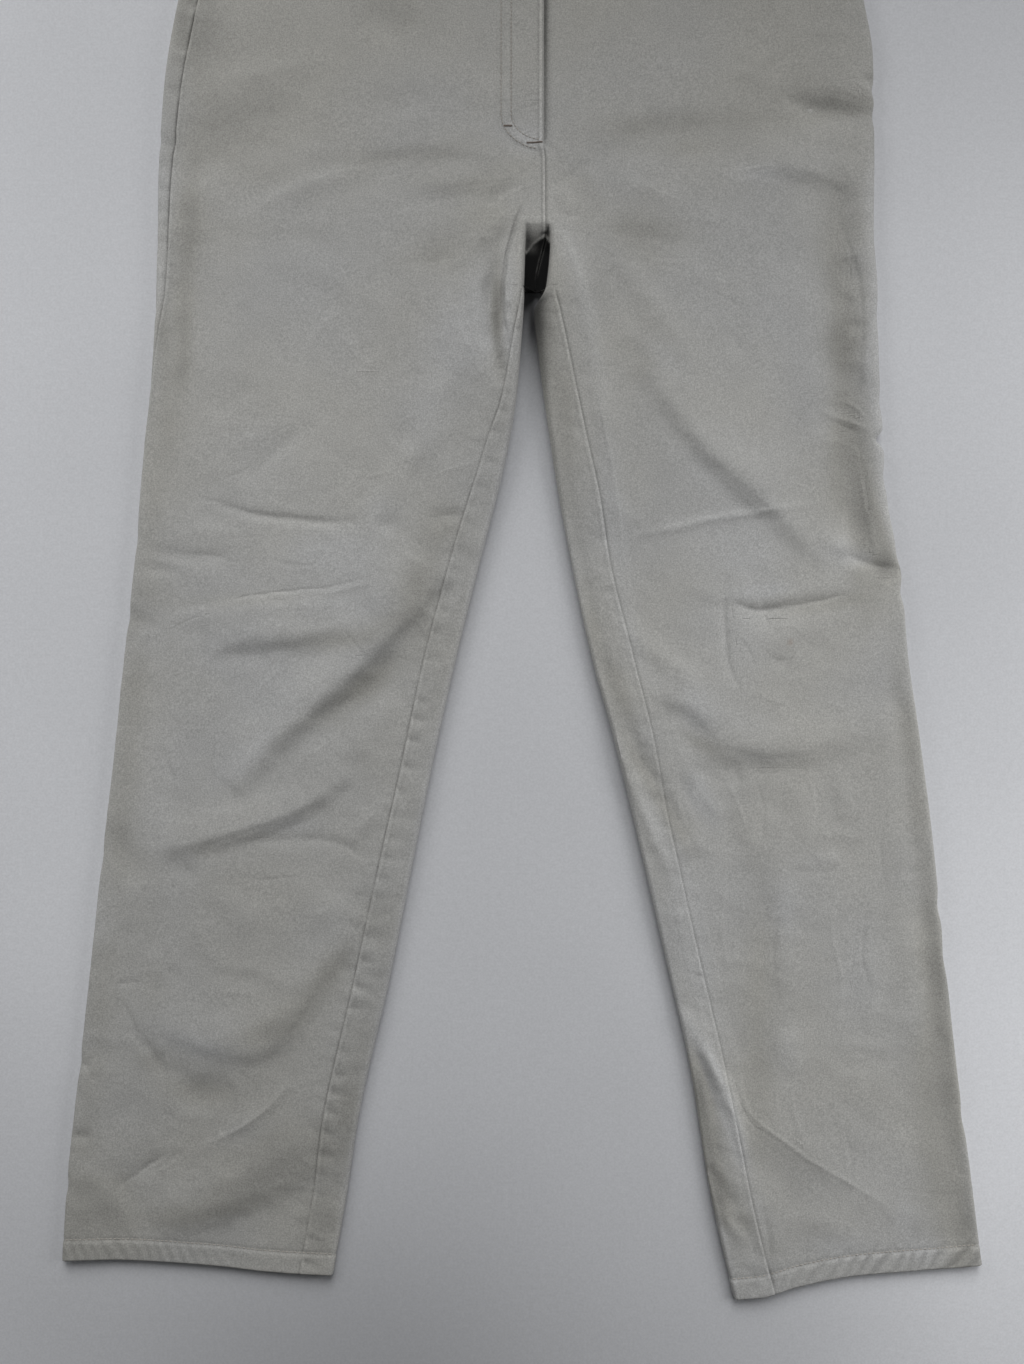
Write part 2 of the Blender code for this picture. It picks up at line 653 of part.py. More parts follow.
# ------------------------------------------------------------------ button
def button():
    """A turned four-hole button: rim, dished face, flat back."""
    cx, cy = -14.0, WAIST_SEAM + BAND_HEIGHT / 2
    sec = Section("right", cy, BAND_WALL)
    base = sec.point(sec.top_at(abs(cx - sec.outer)))[1] - fly_lift(cx, cy) + BAND_LIFT
    z0 = base + 0.35
    r = BUTTON_DIAMETER / 2
    profile = ((0.0, 0.0), (r - 1.0, 0.0), (r, 0.9), (r, 1.5), (r - 0.7, BUTTON_THICK),
               (r - 1.7, BUTTON_THICK), (r - 2.6, 1.6), (0.0, 1.5))
    steps = 28
    bm = bmesh.new()
    rings = []
    for pr, pz in profile:
        if pr == 0.0:
            rings.append([bm.verts.new((cx * MM, cy * MM, (z0 + pz) * MM))])
        else:
            rings.append([bm.verts.new(((cx + pr * math.cos(2 * math.pi * k / steps)) * MM,
                                        (cy + pr * math.sin(2 * math.pi * k / steps)) * MM,
                                        (z0 + pz) * MM)) for k in range(steps)])
    for a, b in zip(rings, rings[1:]):
        for k in range(steps):
            m = (k + 1) % steps
            if len(a) == 1:
                bm.faces.new((a[0], b[m], b[k]))
            elif len(b) == 1:
                bm.faces.new((a[k], a[m], b[0]))
            else:
                bm.faces.new((a[k], a[m], b[m], b[k]))
    ob = finish("waist_button", bm, dict(colour=(0.28, 0.26, 0.22), roughness=0.35))
    holes = []
    for k in range(4):
        a = math.pi / 4 + k * math.pi / 2
        bpy.ops.mesh.primitive_cylinder_add(
            vertices=10, radius=0.85 * MM, depth=8 * MM,
            location=((cx + 1.9 * math.cos(a)) * MM, (cy + 1.9 * math.sin(a)) * MM,
                      (z0 + BUTTON_THICK / 2) * MM))
        cut = bpy.context.active_object
        cut.name = "button_hole%d" % k
        cut.hide_render = True
        cut.display_type = "WIRE"
        mod = ob.modifiers.new("hole%d" % k, "BOOLEAN")
        mod.operation, mod.solver, mod.object = "DIFFERENCE", "EXACT", cut
        holes.append(cut)
    return holes


# -------------------------------------------------------------------- main
def main():
    for ob in list(bpy.data.objects):
        bpy.data.objects.remove(ob, do_unlink=True)
    panel("front_right", "right", front_places, False)
    panel("front_left", "left", front_places, False)
    panel("back_right", "right", back_places, True)
    panel("back_left", "left", back_places, True)
    waistband()
    fly_facing()
    zip_tapes()
    helpers = zip_slider()[1:] + button()
    # the origin is the middle of the underside
    pts = np.array([tuple(v.co) for ob in BUILT for v in ob.data.vertices])
    lo, hi = pts.min(0), pts.max(0)
    move = (-(lo[0] + hi[0]) / 2, -(lo[1] + hi[1]) / 2, 0.0)
    for ob in BUILT:
        for v in ob.data.vertices:
            v.co.x += move[0]
            v.co.y += move[1]
        ob.data.update()
    for ob in helpers:
        ob.location.x += move[0]
        ob.location.y += move[1]
    for ob in BUILT:
        if ob.name == "waist_button":
            ob.data.shade_smooth()
            ob.data.set_sharp_from_angle(angle=math.radians(40))


main()
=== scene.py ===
"""Chino trousers laid flat: cloth, seams, folds, stitching, fly, waistband.

Sizes are in millimetres in the layout frame of the CAD: x from the centre
front line, y from the crotch, z up from the surface.  SX and SY move them
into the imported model's frame.
"""
import bpy
import bmesh
import math
import numpy as np
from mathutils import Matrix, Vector
from mathutils.bvhtree import BVHTree


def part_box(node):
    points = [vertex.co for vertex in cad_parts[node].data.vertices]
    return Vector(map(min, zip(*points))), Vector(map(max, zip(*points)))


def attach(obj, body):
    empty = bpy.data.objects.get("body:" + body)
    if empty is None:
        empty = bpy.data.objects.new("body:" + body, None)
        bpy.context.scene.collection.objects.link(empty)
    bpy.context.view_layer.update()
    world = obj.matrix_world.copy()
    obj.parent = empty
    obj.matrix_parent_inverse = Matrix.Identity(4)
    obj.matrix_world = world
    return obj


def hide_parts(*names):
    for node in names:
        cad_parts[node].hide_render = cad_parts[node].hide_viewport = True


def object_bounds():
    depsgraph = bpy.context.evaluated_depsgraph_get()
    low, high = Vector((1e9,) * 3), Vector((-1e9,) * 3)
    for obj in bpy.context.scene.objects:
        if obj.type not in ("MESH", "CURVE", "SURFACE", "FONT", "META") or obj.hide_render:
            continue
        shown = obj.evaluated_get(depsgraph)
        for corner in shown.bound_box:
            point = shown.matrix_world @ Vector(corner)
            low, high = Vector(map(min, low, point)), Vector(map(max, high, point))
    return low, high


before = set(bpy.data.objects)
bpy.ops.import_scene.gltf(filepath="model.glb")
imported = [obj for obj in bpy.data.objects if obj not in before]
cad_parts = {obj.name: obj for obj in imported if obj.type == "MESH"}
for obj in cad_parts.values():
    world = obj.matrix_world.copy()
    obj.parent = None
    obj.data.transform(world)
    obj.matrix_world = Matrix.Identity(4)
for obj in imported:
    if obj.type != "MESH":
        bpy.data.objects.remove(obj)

cad_lo, cad_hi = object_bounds()
MM = 0.001
SX = cad_lo.x / MM + 336.0
SY = cad_lo.y / MM + 744.0
RNG = np.random.RandomState(41)

# ------------------------------------------------------------------ sizes
WALL = 0.9
HEM_WALL = 1.7
BAND_WALL = 1.9
WAIST_SEAM = 236.0
BAND_HEIGHT = 35.0
BACK_RISE = 10.0
WEB_END = -42.0
FLY_END = 55.0
FLY_WIDTH = 31.0
FLY_ROWS = 7.0
FLY_LIFT = 0.8
EDGE_X = -1.3          # the fly's free edge, beside the centre seam
HEM_STITCH = 15.3
STEP = 2.0             # spacing of the cloth's mesh

COLUMNS = ("y", "outer", "inner", "outseam", "inseam",
           "high_out", "high_mid", "high_in", "round_out", "round_in")
RIGHT_LEG = np.array((
    (271.0, -224.0, -13.0, 15.0,  0.0,  7.0, 4.4,  5.4, 3.5, 4.0),
    (236.0, -233.0, -13.0, 15.0,  0.0,  7.5, 5.0,  5.4, 3.5, 4.0),
    (160.0, -255.0, -13.0, 15.0,  0.0,  8.0, 5.2,  5.4, 4.0, 4.0),
    (90.0,  -266.0, -13.0, 13.0,  0.0,  8.0, 5.4,  6.0, 4.0, 4.0),
    (30.0,  -269.0, -13.0, 10.0,  0.0,  8.0, 5.6,  9.0, 4.0, 4.0),
    (0.0,   -269.5, -13.2,  9.0,  0.0,  8.0, 5.8, 13.5, 4.0, 3.4),
    (-42.0, -270.3, -14.4,  7.0,  1.5,  8.0, 6.0, 16.0, 4.0, 3.2),
    (-77.0, -272.0, -16.3,  3.0,  6.0,  8.0, 6.0, 15.5, 3.5, 3.0),
    (-118.0, -275.0, -20.0, 0.5, 10.0,  7.5, 5.8, 13.5, 3.0, 2.6),
    (-152.0, -278.7, -25.7, 0.0, 16.0,  7.5, 5.6, 11.0, 2.8, 2.3),
    (-231.0, -285.5, -45.2, -1.0, 21.0, 7.5, 5.4,  9.0, 2.6, 2.0),
    (-295.0, -292.5, -61.2, -2.0, 22.0, 7.5, 5.4,  8.5, 2.6, 2.0),
    (-366.0, -300.0, -77.0, -2.0, 21.5, 7.0, 5.4,  8.0, 2.4, 2.0),
    (-439.0, -308.5, -91.7, -2.0, 23.0, 7.0, 5.4,  7.5, 2.4, 1.8),
    (-523.0, -317.5, -108.4, -2.0, 24.5, 6.5, 5.2, 7.0, 2.4, 1.8),
    (-614.0, -327.5, -129.3, -2.0, 24.5, 6.5, 5.0, 6.5, 2.2, 1.8),
    (-669.0, -333.0, -138.3, -2.0, 23.0, 6.0, 4.8, 6.0, 2.0, 1.7),
    (-722.0, -336.0, -148.0, -2.0, 23.0, 5.8, 4.8, 5.8, 2.0, 1.7),
))
LEFT_LEG = np.array((
    (271.0, 194.0,   4.0, -16.0,  0.0,  7.0, 4.4,  5.4, 3.5, 4.0),
    (236.0, 205.0,   4.0, -16.0,  0.0,  7.5, 5.0,  5.4, 3.5, 4.0),
    (160.0, 221.5,   4.0, -16.0,  0.0,  8.0, 5.2,  5.4, 4.5, 4.0),
    (119.0, 228.0,   4.0, -16.0,  0.0,  8.5, 5.4,  5.6, 5.0, 4.0),
    (51.0,  229.0,   4.0, -16.0,  0.0,  8.5, 5.6,  8.0, 5.0, 4.0),
    (0.0,   228.5,   3.5, -16.0,  0.0,  8.5, 5.8, 13.5, 4.5, 3.4),
    (-42.0, 231.2,   0.0, -16.0,  6.2,  8.5, 6.0, 15.5, 4.5, 4.0),
    (-58.0, 231.4,  -7.6, -16.0, 17.6,  8.5, 6.0, 15.0, 4.5, 9.0),
    (-88.0, 232.0,  -4.6, -16.0, 21.4,  8.5, 5.8, 13.5, 4.5, 7.0),
    (-141.0, 235.0,  2.6, -15.0, 25.5,  8.5, 5.6, 11.0, 4.5, 4.2),
    (-188.0, 238.0, 10.0, -14.0, 28.5,  8.5, 5.4,  9.0, 4.5, 2.8),
    (-236.0, 247.5, 19.2, -12.0, 27.0,  8.0, 5.4,  8.5, 3.6, 2.2),
    (-295.0, 252.5, 32.0, -10.0, 28.8,  7.5, 5.4,  8.0, 2.8, 2.0),
    (-352.0, 260.5, 47.4, -8.0, 27.6,   7.5, 5.4,  8.0, 2.6, 2.0),
    (-414.0, 268.5, 62.6, -8.0, 24.0,   7.5, 5.4,  8.0, 2.6, 2.0),
    (-495.0, 277.0, 81.2, -8.0, 23.4,   7.0, 5.2,  7.5, 2.4, 2.0),
    (-587.0, 287.0, 102.0, -8.0, 24.0,  6.5, 5.0,  7.0, 2.2, 1.8),
    (-657.0, 295.5, 114.0, -8.0, 27.4,  6.0, 4.8,  6.5, 2.0, 1.8),
    (-732.0, 304.0, 132.0, -8.0, 28.0,  5.8, 4.8,  6.0, 2.0, 1.7),
))
CENTRE = np.array(((271.0, 5.4), (160.0, 5.4), (100.0, 5.6), (55.0, 6.4),
                   (20.0, 9.0), (0.0, 12.0), (-42.0, 14.0)))
RIGHT_HEM = np.array(((-336.0, -717.0), (-304.0, -716.5), (-231.0, -720.5),
                      (-190.0, -725.0), (-148.0, -727.0)))
LEFT_HEM = np.array(((131.0, -744.0), (150.0, -742.5), (174.0, -736.0),
                     (215.0, -728.0), (260.0, -724.0), (304.0, -720.0)))
LEVEL = {"right": -722.0, "left": -732.0}
HEM_START = -560.0
TABLES = {"right": RIGHT_LEG, "left": LEFT_LEG}
TOWARDS = {"right": 1.0, "left": -1.0}
HEMS = {"right": RIGHT_HEM, "left": LEFT_HEM}

# ------------------------------------------------------------------ folds
# Soft folds of the front: path points, half width, height (troughs below
# 0), sharp (0 round .. 1 pinched), lean (steeper on one side, -1 .. 1).
FOLD_COLUMNS = ("path", "width", "height", "sharp", "lean")
FOLDS = (
    # hips, right half
    (((-249.5, 54.2), (-215.4, 69.5), (-166.1, 79.2)), 16, -1.5, 0, -0.4),
    (((-239.8, 145.9), (-235.6, 118.1), (-237.7, 93.8)), 9, -1.6, 0, 0),
    (((-121.6, 155.7), (-106.3, 144.6), (-90.3, 137.6)), 11, -1.2, 0, 0),
    (((-83.4, 93.8), (-104.2, 87.6), (-121.6, 90.3)), 9, -0.8, 0, 0),
    (((-222.4, 57), (-236.3, 45.2), (-246.7, 27.8)), 8, -1.1, 0, 0),
    (((-234.2, 90.3), (-202.9, 106.3), (-177.2, 112.6), (-142.5, 116.8)), 9, 0.9, 0, 0),
    (((-222.4, 2.8), (-193.2, 17.4), (-167.5, 29.9), (-142.5, 37.5), (-117.5, 41.7), (-91.7, 43.1)), 7, 0.8, 0.1, -0.2),
    (((-142.5, 36.1), (-104.9, 46.6), (-79.2, 48.6), (-42.4, 45.2)), 10, -1.5, 0.1, -0.6),
    (((-99.4, 20.2), (-60.5, 22.2), (-35.4, 23.6), (-13.2, 28.5)), 9, -1.5, 0.1, -0.6),
    (((-249, -4.2), (-250.4, -29.9), (-259.4, -61.2), (-267.7, -111.9)), 9, -1.6, 0.2, 0),
    (((-132.7, 159.8), (-107.7, 147.3), (-91.7, 128.6)), 16, -0.8, 0, 0),
    (((-187, 2.1), (-159.8, -9), (-136.2, -22.9)), 8, -0.7, 0, 0),
    # from the fork down the right thigh
    (((-18.1, 36.1), (-27.8, 11.1), (-46.6, -11.1), (-64.6, -26.4)), 6, 1.6, 0.2, 0),
    (((-25.7, 23.6), (-34.1, 5.6), (-39.6, -6.9)), 4, -1.1, 0.2, 0),
    (((-17.4, 40.3), (-38.2, 27.8), (-57.7, 16.7)), 5, 0.9, 0.2, 0),
    (((-73, -22.2), (-68.8, -55.6), (-54.9, -79.9), (-31.3, -90.3)), 20, 2.4, 0, 0),
    (((-52.1, -73), (-73, -118.1), (-81.3, -145.9), (-98, -166.8), (-111.9, -196.7)), 8, 1.3, 0.1, 0),
    (((-28.5, 5.6), (-34.1, -22.2), (-37.5, -41.7), (-38.9, -61.2), (-36.1, -84.8), (-29.2, -111.2)), 5.6, -3.6, 0, -0.5),
    (((-16.7, 23.6), (-25, -6.9), (-27.8, -41.7), (-26.4, -98.7)), 4.5, 2, 0.2, 0),
    (((-214.1, -177.2), (-188.3, -155), (-159.8, -134.8)), 6, -0.8, 0, 0),
    (((-214.1, -201.5), (-170.3, -166.8), (-135.5, -132)), 16, 0.7, 0, 0),
    # right knee
    (((-232.8, -190.4), (-216.8, -193.9), (-198.1, -198.8), (-172.4, -201.5), (-150.1, -203.6), (-127.9, -202.9)), 3.4, -1.2, 0.4, 0),
    (((-118.8, -205.7), (-110.5, -204.3), (-102.9, -201.5)), 5, -0.9, 0.1, 0),
    (((-80.6, -199.5), (-67.4, -198.8), (-54.9, -198.1)), 5, -1, 0.1, 0),
    (((-283.6, -221.7), (-253.7, -226.6), (-214.1, -228)), 6, -1.1, 0.1, -0.4),
    (((-283.6, -234.2), (-267.6, -236.3), (-252.3, -237.7)), 5, -0.9, 0.1, 0),
    (((-289.8, -265.5), (-281.5, -271), (-274.5, -276.6)), 6, -1.2, 0.1, 0),
    (((-255.1, -272.7), (-230, -267.8), (-204.3, -263.6), (-175.8, -261.5), (-139, -260.1)), 7, 1.3, 0.1, -0.3),
    (((-237, -286.9), (-204.3, -282), (-175.8, -280.6), (-150.1, -275.1), (-131.4, -274.4)), 13, 3.4, 0.08, 0.8),
    (((-66.3, -225.5), (-68.4, -240.1), (-83.7, -252), (-97.6, -265.9), (-122.6, -294.4), (-153.9, -322.8), (-185.9, -351.3), (-205.3, -373.6), (-217.9, -388.2)), 14.5, 5.6, 0.15, -0.85),
    (((-57.7, -221), (-64.6, -244.6), (-81.3, -265.5)), 9, -2.4, 0, 0),
    (((-90.3, -218.9), (-104.2, -239.8), (-118.1, -265.5)), 15, 1.6, 0, -0.7),
    (((-100.8, -326.6), (-135.5, -357.9), (-170.3, -383.6)), 16, 1.6, 0, 0),
    (((-269.6, -428.3), (-244.6, -424.8), (-214, -417.2), (-184.1, -407.4), (-161.8, -396.3), (-145.9, -383.8), (-137.5, -371.3)), 11, 3.8, 0.25, 0.9),
    (((-209.9, -424.6), (-159.8, -423.9), (-139, -428.1), (-124.4, -437.2)), 4, -0.7, 0.2, 0),
    (((-139, -428.1), (-125.1, -413.5), (-106.3, -396.1)), 5, 0.9, 0.2, 0),
    # right shin
    (((-262.7, -437.8), (-252.3, -444.8), (-241.2, -452.4)), 6, -0.9, 0, 0),
    (((-274.5, -455.2), (-270.4, -486.5), (-269, -533.8)), 8, -0.9, 0, 0),
    (((-274.5, -546.8), (-237.7, -560.7), (-213.4, -566.3), (-191.1, -562.8), (-171.7, -538.5), (-152.9, -507.9), (-125.1, -471.1)), 14, 3.1, 0.1, 0.7),
    (((-267.6, -569.9), (-255.1, -589.4), (-239.8, -599.1), (-217.5, -593.5)), 12, -2.2, 0, 0),
    (((-287.7, -553.2), (-276.6, -569.2), (-262.7, -588)), 4, -1.1, 0.3, 0),
    (((-239.8, -638), (-209.9, -622), (-191.8, -608.1), (-175.8, -590.8)), 6, 1, 0.2, 0.4),
    (((-259.2, -640.1), (-280.1, -654), (-298.2, -666.5)), 5, -1.1, 0.2, 0),
    (((-275.9, -683.4), (-248.8, -683.4), (-227.3, -677.9), (-208.5, -668.1), (-184.2, -658.4), (-152.9, -637.6)), 15, 3.4, 0.05, 0.6),
    (((-332.3, -658.2), (-312.8, -659.6), (-298.9, -675.6), (-289.2, -697.2)), 9, 1, 0.1, -0.4),
    (((-324.6, -579.6), (-314.8, -581)), 4, -1, 0.2, 0),
    (((-328.7, -629), (-314.8, -630.4)), 4, -1.2, 0.2, 0),
    (((-309.3, -417), (-294, -430.9), (-281.5, -455.9)), 9, -1.3, 0, 0),
    (((-298.2, -524), (-282.2, -522.6)), 2.6, -0.5, 0.3, 0),
    (((-170.3, -451.7), (-149.4, -469.8), (-128.6, -483)), 14, 0.9, 0, 0),
    (((-242.6, -451.7), (-218.9, -469.1), (-196.7, -486.5)), 9, 0.8, 0, 0),
    (((-264.1, -430.9), (-259.2, -465.6), (-267.6, -507.3)), 12, -1.4, 0, 0),
    # hips, left half
    (((32.7, 51.4), (66, 63.9), (96.6, 68.1), (135.5, 69.5), (177.2, 71.6)), 14, -1.8, 0, -0.5),
    (((35.4, -4.2), (69.5, -9.7), (116.1, -6.9)), 14, -1, 0, -0.6),
    (((12.5, 30.6), (27.8, 47.3)), 5, -1, 0.2, 0),
    (((46.6, 34.1), (73, 27.8), (96.6, 16)), 6, 0.7, 0.1, 0),
    (((6.9, 27.8), (14.6, 18.8), (21.5, 9.7)), 7, 1.2, 0.1, 0),
    (((167.5, 88.3), (192.5, 83.4), (212, 79.2), (232.8, 76.4)), 9, -3.1, 0.15, -0.6),
    (((159.8, 91.7), (180.7, 89.7), (201.5, 86.2)), 11, -1.8, 0, 0),
    (((220.3, 104.2), (228.7, 100.1)), 3.5, -1.8, 0.3, 0),
    (((107.7, 76.4), (149.4, 55.6), (191.1, 57)), 16, 1, 0, 0),
    (((141.1, 45.2), (159.8, 47.3), (177.9, 42.4), (193.2, 36.9), (208.5, 32.7), (220.3, 32)), 11, 2.5, 0.12, 0.8),
    (((214.1, 84.8), (212.7, 62.5), (214.1, 39.6)), 3, -0.7, 0.3, 0),
    (((211.3, -19.5), (213.4, -30.6), (216.1, -40.3)), 6, -2, 0.1, 0),
    (((214.1, -62.5), (216.1, -73)), 5, -1.6, 0.1, 0),
    (((212, -93.8), (216.1, -104.2), (216.1, -118.1)), 6, -1.6, 0.1, 0),
    # left thigh
    (((6.3, 5.6), (18.8, -22.2), (27.8, -55.6), (36.1, -98.7), (44.5, -145.9), (49.3, -183.5), (54.9, -226.6)), 8, 2.9, 0.1, 0),
    (((34.1, 6.3), (55.6, -26.4), (78.5, -61.2), (110.5, -98)), 11, 1.7, 0, 0),
    (((46.6, -26.4), (57.7, -48.6), (63.2, -69.5)), 9, -0.9, 0, 0),
    (((123, -68.1), (134.1, -80.6), (143.9, -90.3)), 5, -0.6, 0.2, 0),
    (((61.5, -90.7), (86.5, -117.1), (111.5, -149.1), (136.5, -173.4), (158.8, -192.9), (177.6, -211.6), (199.1, -233.9)), 12.5, 4.1, 0.15, 0.85),
    (((60.5, -76.4), (66, -100.8), (74.4, -116.8)), 8, -1.1, 0, 0),
    (((59.8, -212.7), (84.8, -208.5), (116.8, -200.9), (142.5, -197.4), (193.2, -189.7)), 3, 1, 0.4, 0),
    (((191.1, -126.5), (212, -133.4), (225.9, -140.4)), 3, 1.2, 0.4, 0),
    (((206.4, -223.8), (218.9, -230), (232.8, -234.2), (250.2, -237.7)), 7, -3.8, 0.25, 0.3),
    (((187.6, -212), (208.5, -222.4), (224.5, -237.7)), 7, 1.5, 0.2, 0),
    # left knee
    (((130, -258.5), (142.5, -263.4), (155, -264.1), (171, -261.3), (193.2, -257.1), (214.1, -251.6)), 5.5, -2, 0.25, -0.75),
    (((126.5, -237.7), (124.4, -259.9), (125.8, -282.2), (127.9, -301.6), (134.1, -317.6)), 4.4, -1.2, 0.3, 0.2),
    (((132, -278), (166.8, -282.2), (198.1, -269.7)), 13, 1, 0, 0),
    (((149.4, -257.1), (153.6, -265.5), (156.4, -276.6)), 3, -0.7, 0.4, 0),
    (((155, -295.4), (161.9, -301.6), (170.3, -300.2)), 4, -0.8, 0.2, 0),
    (((53.5, -274.5), (84.8, -301.6), (111.2, -319.7)), 8, 1.5, 0.1, 0),
    (((75.2, -316.1), (96, -325.8), (114.1, -339.7), (125.2, -359.2)), 13, 1.6, 0.05, 0.75),
    (((100.8, -349.8), (129.3, -355.4), (155, -360.3), (180, -358.9), (199.5, -353.3), (224.5, -349.1), (246.7, -347.1)), 14, 2.6, 0.05, 0.75),
    (((116.1, -367), (127.2, -378.8), (134.1, -389.2)), 9, -1, 0, 0),
    (((76.4, -337.1), (100.8, -341.9), (118.8, -362.8)), 7, -1.2, 0, 0),
    (((91, -344), (100.8, -355.1), (110.5, -362.8)), 9, -1.5, 0, 0),
    (((128.6, -368.3), (155, -373.9), (180, -371.1)), 9, -1.2, 0, 0),
    (((43.8, -341.9), (56.3, -375.3), (73, -417), (88.3, -451.7)), 5, 1.9, 0.2, 0),
    (((50.7, -326.6), (66, -365.6), (82.7, -400.3), (96.6, -428.1)), 6, -2.3, 0.15, 0),
    (((70.2, -375.3), (81.3, -399.6), (100.8, -436.5)), 5, 1.2, 0.1, 0),
    (((82.7, -378.8), (100.8, -408.7), (109.1, -434.4)), 6, 1, 0.1, 0),
    (((92.4, -376.7), (100.8, -400.3), (107.7, -423.9)), 6, -1, 0.1, 0),
    (((98, -371.8), (111.9, -392.7), (127.2, -411.4)), 6, 1.2, 0.1, 0),
    (((121.6, -389.2), (127.2, -410), (128.6, -432.3)), 6, -0.7, 0, 0),
    (((139, -396.1), (143.9, -420.5), (142.5, -444.8)), 7, 0.7, 0, 0),
    (((129.3, -367), (132, -375.3), (134.1, -386.4)), 3.5, -0.9, 0.2, 0),
    (((199.5, -369.7), (205.7, -389.2), (210.6, -411.4)), 6, 0.8, 0.1, 0),
    (((170.3, -378.8), (177.2, -399.6), (181.4, -423.9)), 8, 0.6, 0, 0),
    # left shin
    (((149.4, -443.4), (153.6, -486.5), (152.9, -542.1), (148, -610.2)), 9, -1.5, 0, 0),
    (((170.3, -451.7), (171.7, -500.4), (166.8, -542.1)), 10, 0.8, 0, 0),
    (((191.1, -430.9), (182.8, -458.7), (185.6, -486.5)), 9, 0.3, 0, 0),
    (((166.8, -556), (170.3, -573.4), (173.8, -587.3)), 10, 0.9, 0, 0),
    (((165.4, -444.1), (185.6, -446.2), (207.8, -445.5)), 5, -0.3, 0.1, 0),
    (((187.6, -439.2), (198.1, -436.5), (206.4, -442)), 4, 0.7, 0.2, 0),
    (((228, -500.4), (227.3, -528.2), (224.5, -562.9)), 7, 0.8, 0, 0),
    (((107.7, -542.1), (132, -542.1)), 9, -0.7, 0, 0),
    (((130.7, -576.8), (136.2, -597.7), (143.9, -613), (161.9, -627.6), (187, -646.3), (212, -660.9), (243.9, -679.7), (271.7, -696.4)), 10, 0.9, 0.1, 0.4),
    (((139, -639.4), (159.8, -656.8), (177.2, -684.6)), 12, -1.1, 0, 0),
    (((198.1, -597.7), (212, -611.6), (225.9, -625.5)), 6, -0.3, 0.1, 0),
    (((166.8, -693.6), (185.6, -689.4), (203.6, -693.6), (223.1, -708.9)), 8, 0.5, 0, 0),
    # along the left inseam, low down
    (((93.8, -542.1), (109.1, -568.5), (123, -594.2), (132.7, -619.9), (139.7, -650.5)), 5.5, 2.9, 0.2, 0.1),
    (((100.8, -566.4), (111.9, -590.8), (120.2, -611.6), (125.8, -632.4)), 6, -0.7, 0.1, 0),
    (((40.3, -307.9), (50, -340.5), (60.5, -389.2)), 6, 0.9, 0.1, 0),
    (((113.3, -649.8), (123, -667.2), (132.7, -678.3)), 5, -2.2, 0.3, 0),
    (((118.8, -677.6), (128.6, -691.5), (139, -701.9)), 4, 1.2, 0.2, 0),
    (((136.9, -684.6), (142.5, -701.9), (144.6, -717.2)), 4, -1.1, 0.3, 0),
    (((151.5, -678.3), (155, -701.9), (156.4, -736.7)), 3.5, -1.1, 0.3, 0),
)
